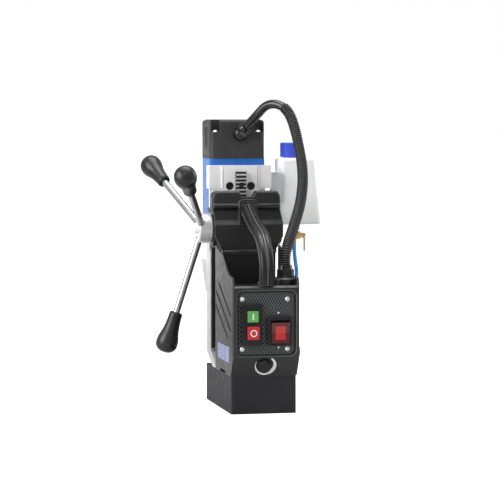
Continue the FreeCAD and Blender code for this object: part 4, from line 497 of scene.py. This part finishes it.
NODE_FINISH = {
    "magnet_block": "magnet_paint", "magnet_coils": "copper_winding", "magnet_potting": "resin",
    "magnet_bolts": "black_screw", "stand_housing": "black_casting", "panel_plate": "panel_black",
    "panel_screws": "zinc_screw", "motor_switch_frame": "switch_black", "rocker_frame": "switch_black",
    "magnet_rocker": "red_lens", "speed_knob": "knob_black", "speed_potentiometer": "switch_black",
    "panel_marks": "white_print", "control_board": "board_green", "carry_handle": "handle_rubber",
    "handle_screws": "black_screw", "conduit_gland": "gland_black", "mains_gland": "gland_black",
    "guide_frame": "frame_alloy", "frame_bolts": "black_screw", "gib_strip": "bronze",
    "gib_screws": "zinc_screw", "feed_bushes": "bronze", "rating_label": "label_blue",
    "pinion_shaft": "steel_ground", "capstan_hub": "hub_alloy", "hub_screw": "zinc_screw",
    "shaft_retaining_ring": "black_screw", "slide_plate": "aluminium_machined", "rack": "rack_steel",
    "slide_screws": "black_screw", "motor_housing": "motor_blue", "motor_cap": "cap_black",
    "cap_screws": "zinc_screw", "motor_gland": "gland_black", "stator": "lamination",
    "brush_holders": "bronze", "armature": "lamination", "gearbox_housing": "gearbox_alloy",
    "gearbox_screws": "black_screw", "gearbox_bearings": "steel_ground", "intermediate_gear": "steel_ground",
    "spindle_arbor": "steel_ground", "tank_bracket": "bracket_grey", "coolant_tank": "tank_white",
    "tank_cap": "cap_blue", "tank_valve": "valve_brass", "valve_lever": "valve_brass",
    "hose_fitting": "valve_brass", "coolant_hose": "hose_blue", "conduit": "conduit_black",
    "cable_sleeve": "gland_black", "start_button": "green_plastic", "stop_button": "red_plastic",
    "feed_spoke_1": "chrome_rod", "feed_spoke_2": "chrome_rod", "feed_spoke_3": "chrome_rod",
    "feed_knob_1": "grip_black", "feed_knob_2": "grip_black", "feed_knob_3": "grip_black",
}


def finish_nodes():
    for name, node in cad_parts.items():
        for material_slot in node.material_slots:
            material_slot.material = FINISHES[NODE_FINISH[name]]


finish_nodes()


# ---------------------------------------------------------------- mesh helpers
def new_piece(name, mesh, slot, body):
    piece = bpy.data.objects.new(name, mesh)
    SCENE.collection.objects.link(piece)
    piece.data.materials.append(FINISHES[slot])
    if body:
        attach(piece, body)
    return piece


def smooth_mesh(name, points, faces):
    mesh = bpy.data.meshes.new(name)
    mesh.from_pydata(points, [], faces)
    mesh.validate()
    mesh.polygons.foreach_set("use_smooth", [True] * len(mesh.polygons))
    return mesh


def route_line(name, points):
    """Even points along the NURBS through the route's control points."""
    curve = bpy.data.curves.new(name, "CURVE")
    curve.dimensions = "3D"
    curve.resolution_u = 32
    spline = curve.splines.new("NURBS")
    spline.points.add(len(points) - 1)
    for target, point in zip(spline.points, points):
        target.co = (*point, 1.0)
    spline.order_u = 3
    spline.use_endpoint_u = True
    holder = bpy.data.objects.new(name, curve)
    SCENE.collection.objects.link(holder)
    bpy.context.view_layer.update()
    mesh = bpy.data.meshes.new_from_object(holder)
    line = [v.co.copy() for v in mesh.vertices]
    bpy.data.objects.remove(holder)
    bpy.data.curves.remove(curve)
    bpy.data.meshes.remove(mesh)
    return line


def line_length(line):
    return sum((b - a).length for a, b in zip(line, line[1:]))


def stations(line, distances):
    """(point, tangent) of the line at each distance, turned smoothly between its points."""
    runs = [0.0]
    for a, b in zip(line, line[1:]):
        runs.append(runs[-1] + (b - a).length)
    tangents = []
    for i in range(len(line)):
        before = line[max(0, i - 1)]
        after = line[min(len(line) - 1, i + 1)]
        tangents.append((after - before).normalized())
    found = []
    k = 0
    for d in distances:
        while k < len(line) - 2 and runs[k + 1] < d:
            k += 1
        share = (d - runs[k]) / (runs[k + 1] - runs[k])
        point = line[k].lerp(line[k + 1], share)
        found.append((point, tangents[k].lerp(tangents[k + 1], share).normalized()))
    return found


def tube_mesh(name, line, rings, sides):
    """A closed tube: rings are (distance, radius) along the line."""
    at = stations(line, [d for d, r in rings])
    normal = at[0][1].orthogonal().normalized()
    points = []
    last = at[0][1]
    for (point, tangent), (d, radius) in zip(at, rings):
        normal = last.rotation_difference(tangent) @ normal
        normal = (normal - tangent * normal.dot(tangent)).normalized()
        last = tangent
        side = tangent.cross(normal)
        for i in range(sides):
            angle = 2.0 * math.pi * i / sides
            points.append(point + (normal * math.cos(angle) + side * math.sin(angle)) * radius)
    faces = []
    for r in range(len(rings) - 1):
        for i in range(sides):
            j = (i + 1) % sides
            faces.append((r * sides + i, r * sides + j, (r + 1) * sides + j, (r + 1) * sides + i))
    faces.append(tuple(reversed(range(sides))))
    faces.append(tuple(range((len(rings) - 1) * sides, len(rings) * sides)))
    return smooth_mesh(name, points, faces)


# ---------------------------------------------------------------- cords
CONDUIT_ROUTE = [(0.0295, -0.068, 0.179), (0.0295, -0.068, 0.193), (0.0345, -0.0625, 0.207),
                 (0.045, -0.049, 0.227), (0.058, -0.030, 0.255), (0.065, -0.012, 0.291),
                 (0.060, 0.006, 0.338), (0.0534, 0.0174, 0.3647), (0.04785, 0.02335, 0.36955)]
SLEEVE_ROUTE = [(0.00951, 0.06693, 0.34601), (0.01863, 0.05283, 0.35861), (0.0295, 0.0431, 0.3734),
                (0.0423, 0.0293, 0.3744), (0.04785, 0.02335, 0.36955)]
HOSE_ROUTE = [(0.0745, 0.080, 0.197), (0.0745, 0.080, 0.182), (0.080, 0.082, 0.153),
              (0.071, 0.093, 0.129), (0.054, 0.106, 0.120), (0.040, 0.106, 0.120)]
CONDUIT_R = 6.8 * MM
CONDUIT_ROOT = 5.0 * MM
CONDUIT_SIDES = 32
RIB_PITCH = 2.6 * MM
RIB_STEPS = 8
SLEEVE_R = 5.6 * MM
SLEEVE_MOUTH_R = 0.96 * SLEEVE_R
SLEEVE_RINGS = 60
SLEEVE_SIDES = 36
HOSE_R = 2.5 * MM
HOSE_RINGS = 90
HOSE_SIDES = 24


def even_rings(length, radius, count):
    return [(length * i / count, radius) for i in range(count + 1)]


def corrugated_rings(length):
    """Half-round ribs with narrow valleys between them."""
    count = int(length / RIB_PITCH)
    pitch = length / count
    rings = []
    for k in range(count):
        for i in range(RIB_STEPS):
            share = i / RIB_STEPS
            height = math.sin(math.pi * share) ** 1.5
            rings.append(((k + share) * pitch, CONDUIT_ROOT + (CONDUIT_R - CONDUIT_ROOT) * height))
    rings.append((length, CONDUIT_ROOT))
    return rings


def add_conduit():
    line = route_line("conduit_line", CONDUIT_ROUTE)
    rings = corrugated_rings(line_length(line))
    mesh = tube_mesh("conduit_tube", line, rings, CONDUIT_SIDES)
    crest = mesh.attributes.new("crest", "FLOAT", "POINT")
    heights = [(radius - CONDUIT_ROOT) / (CONDUIT_R - CONDUIT_ROOT) for d, radius in rings]
    crest.data.foreach_set("value", [height for height in heights for i in range(CONDUIT_SIDES)])
    piece = new_piece("conduit_tube", mesh, "conduit_black", None)
    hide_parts("conduit")
    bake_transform(piece)


def add_sleeve():
    line = route_line("sleeve_line", SLEEVE_ROUTE)
    rings = even_rings(line_length(line), SLEEVE_R, SLEEVE_RINGS)
    rings[0] = (0.0, SLEEVE_MOUTH_R)
    mesh = tube_mesh("sleeve_tube", line, rings, SLEEVE_SIDES)
    piece = new_piece("sleeve_tube", mesh, "gland_black", "carriage")
    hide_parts("cable_sleeve")


def add_hose():
    line = route_line("hose_line", HOSE_ROUTE)
    rings = even_rings(line_length(line), HOSE_R, HOSE_RINGS)
    mesh = tube_mesh("hose_tube", line, rings, HOSE_SIDES)
    piece = new_piece("hose_tube", mesh, "hose_blue", "carriage")
    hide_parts("coolant_hose")


add_conduit()
add_sleeve()
add_hose()


# ---------------------------------------------------------------- stage and light
FLOOR_R = 60.0
FLOOR_Z = -0.0002
FLOOR_SIDES = 96
ROOM = 0.50
LAMPS = [("key_left", (-1.7, -0.6, 1.0), (0.0, 0.0, 0.18), (1.4, 1.4), 40.0),
         ("top", (0.0, 0.1, 1.8), (0.0, 0.0, 0.2), (1.2, 1.2), 26.0),
         ("rim_right", (1.3, 0.2, 0.8), (0.0, 0.0, 0.2), (0.5, 0.9), 8.0),
         ("flank", (-0.62, 2.0, 0.17), (-0.04, -0.03, 0.10), (0.8, 0.3), 1.6)]


def add_floor():
    mesh = bpy.data.meshes.new("floor")
    turns = [2.0 * math.pi * i / FLOOR_SIDES for i in range(FLOOR_SIDES)]
    points = [(FLOOR_R * math.cos(turn), FLOOR_R * math.sin(turn), FLOOR_Z) for turn in turns]
    mesh.from_pydata(points, [], [tuple(range(FLOOR_SIDES))])
    floor = bpy.data.objects.new("floor", mesh)
    SCENE.collection.objects.link(floor)
    f = Finish("floor_paper", (0.55, 0.55, 0.55), 0.9, specular=0.0)
    path = f.tree.nodes.new("ShaderNodeLightPath")
    f.tree.links.new(path.outputs["Is Camera Ray"], f.bsdf.inputs["Emission Strength"])
    f.value("Emission Color", (1.0, 1.0, 1.0, 1.0))
    f.rough(f.noise(300.0, 2.0), 0.85, 0.95)
    floor.data.materials.append(f.done())


def add_area(name, at, target, size, power):
    light = bpy.data.lights.new(name, "AREA")
    light.shape = "RECTANGLE"
    light.size = size[0]
    light.size_y = size[1]
    light.energy = power
    lamp = bpy.data.objects.new(name, light)
    lamp.location = at
    lamp.rotation_euler = (Vector(target) - Vector(at)).to_track_quat("-Z", "Y").to_euler()
    SCENE.collection.objects.link(lamp)


def add_world():
    """White where the camera looks past the machine; a soft even room for light and reflections."""
    world = bpy.data.worlds.new("studio")
    world.use_nodes = True
    SCENE.world = world
    nodes, links = world.node_tree.nodes, world.node_tree.links
    back = nodes["Background"]
    path = nodes.new("ShaderNodeLightPath")
    pick = nodes.new("ShaderNodeMix")
    links.new(path.outputs["Is Camera Ray"], pick.inputs["Factor"])
    pick.inputs["A"].default_value = ROOM
    pick.inputs["B"].default_value = 1.0
    links.new(pick.outputs["Result"], back.inputs["Strength"])
    back.inputs["Color"].default_value = (1.0, 1.0, 1.0, 1.0)


def add_light():
    add_world()
    for lamp in LAMPS:
        add_area(*lamp)
    SCENE.view_settings.view_transform = "Standard"


add_floor()
add_light()
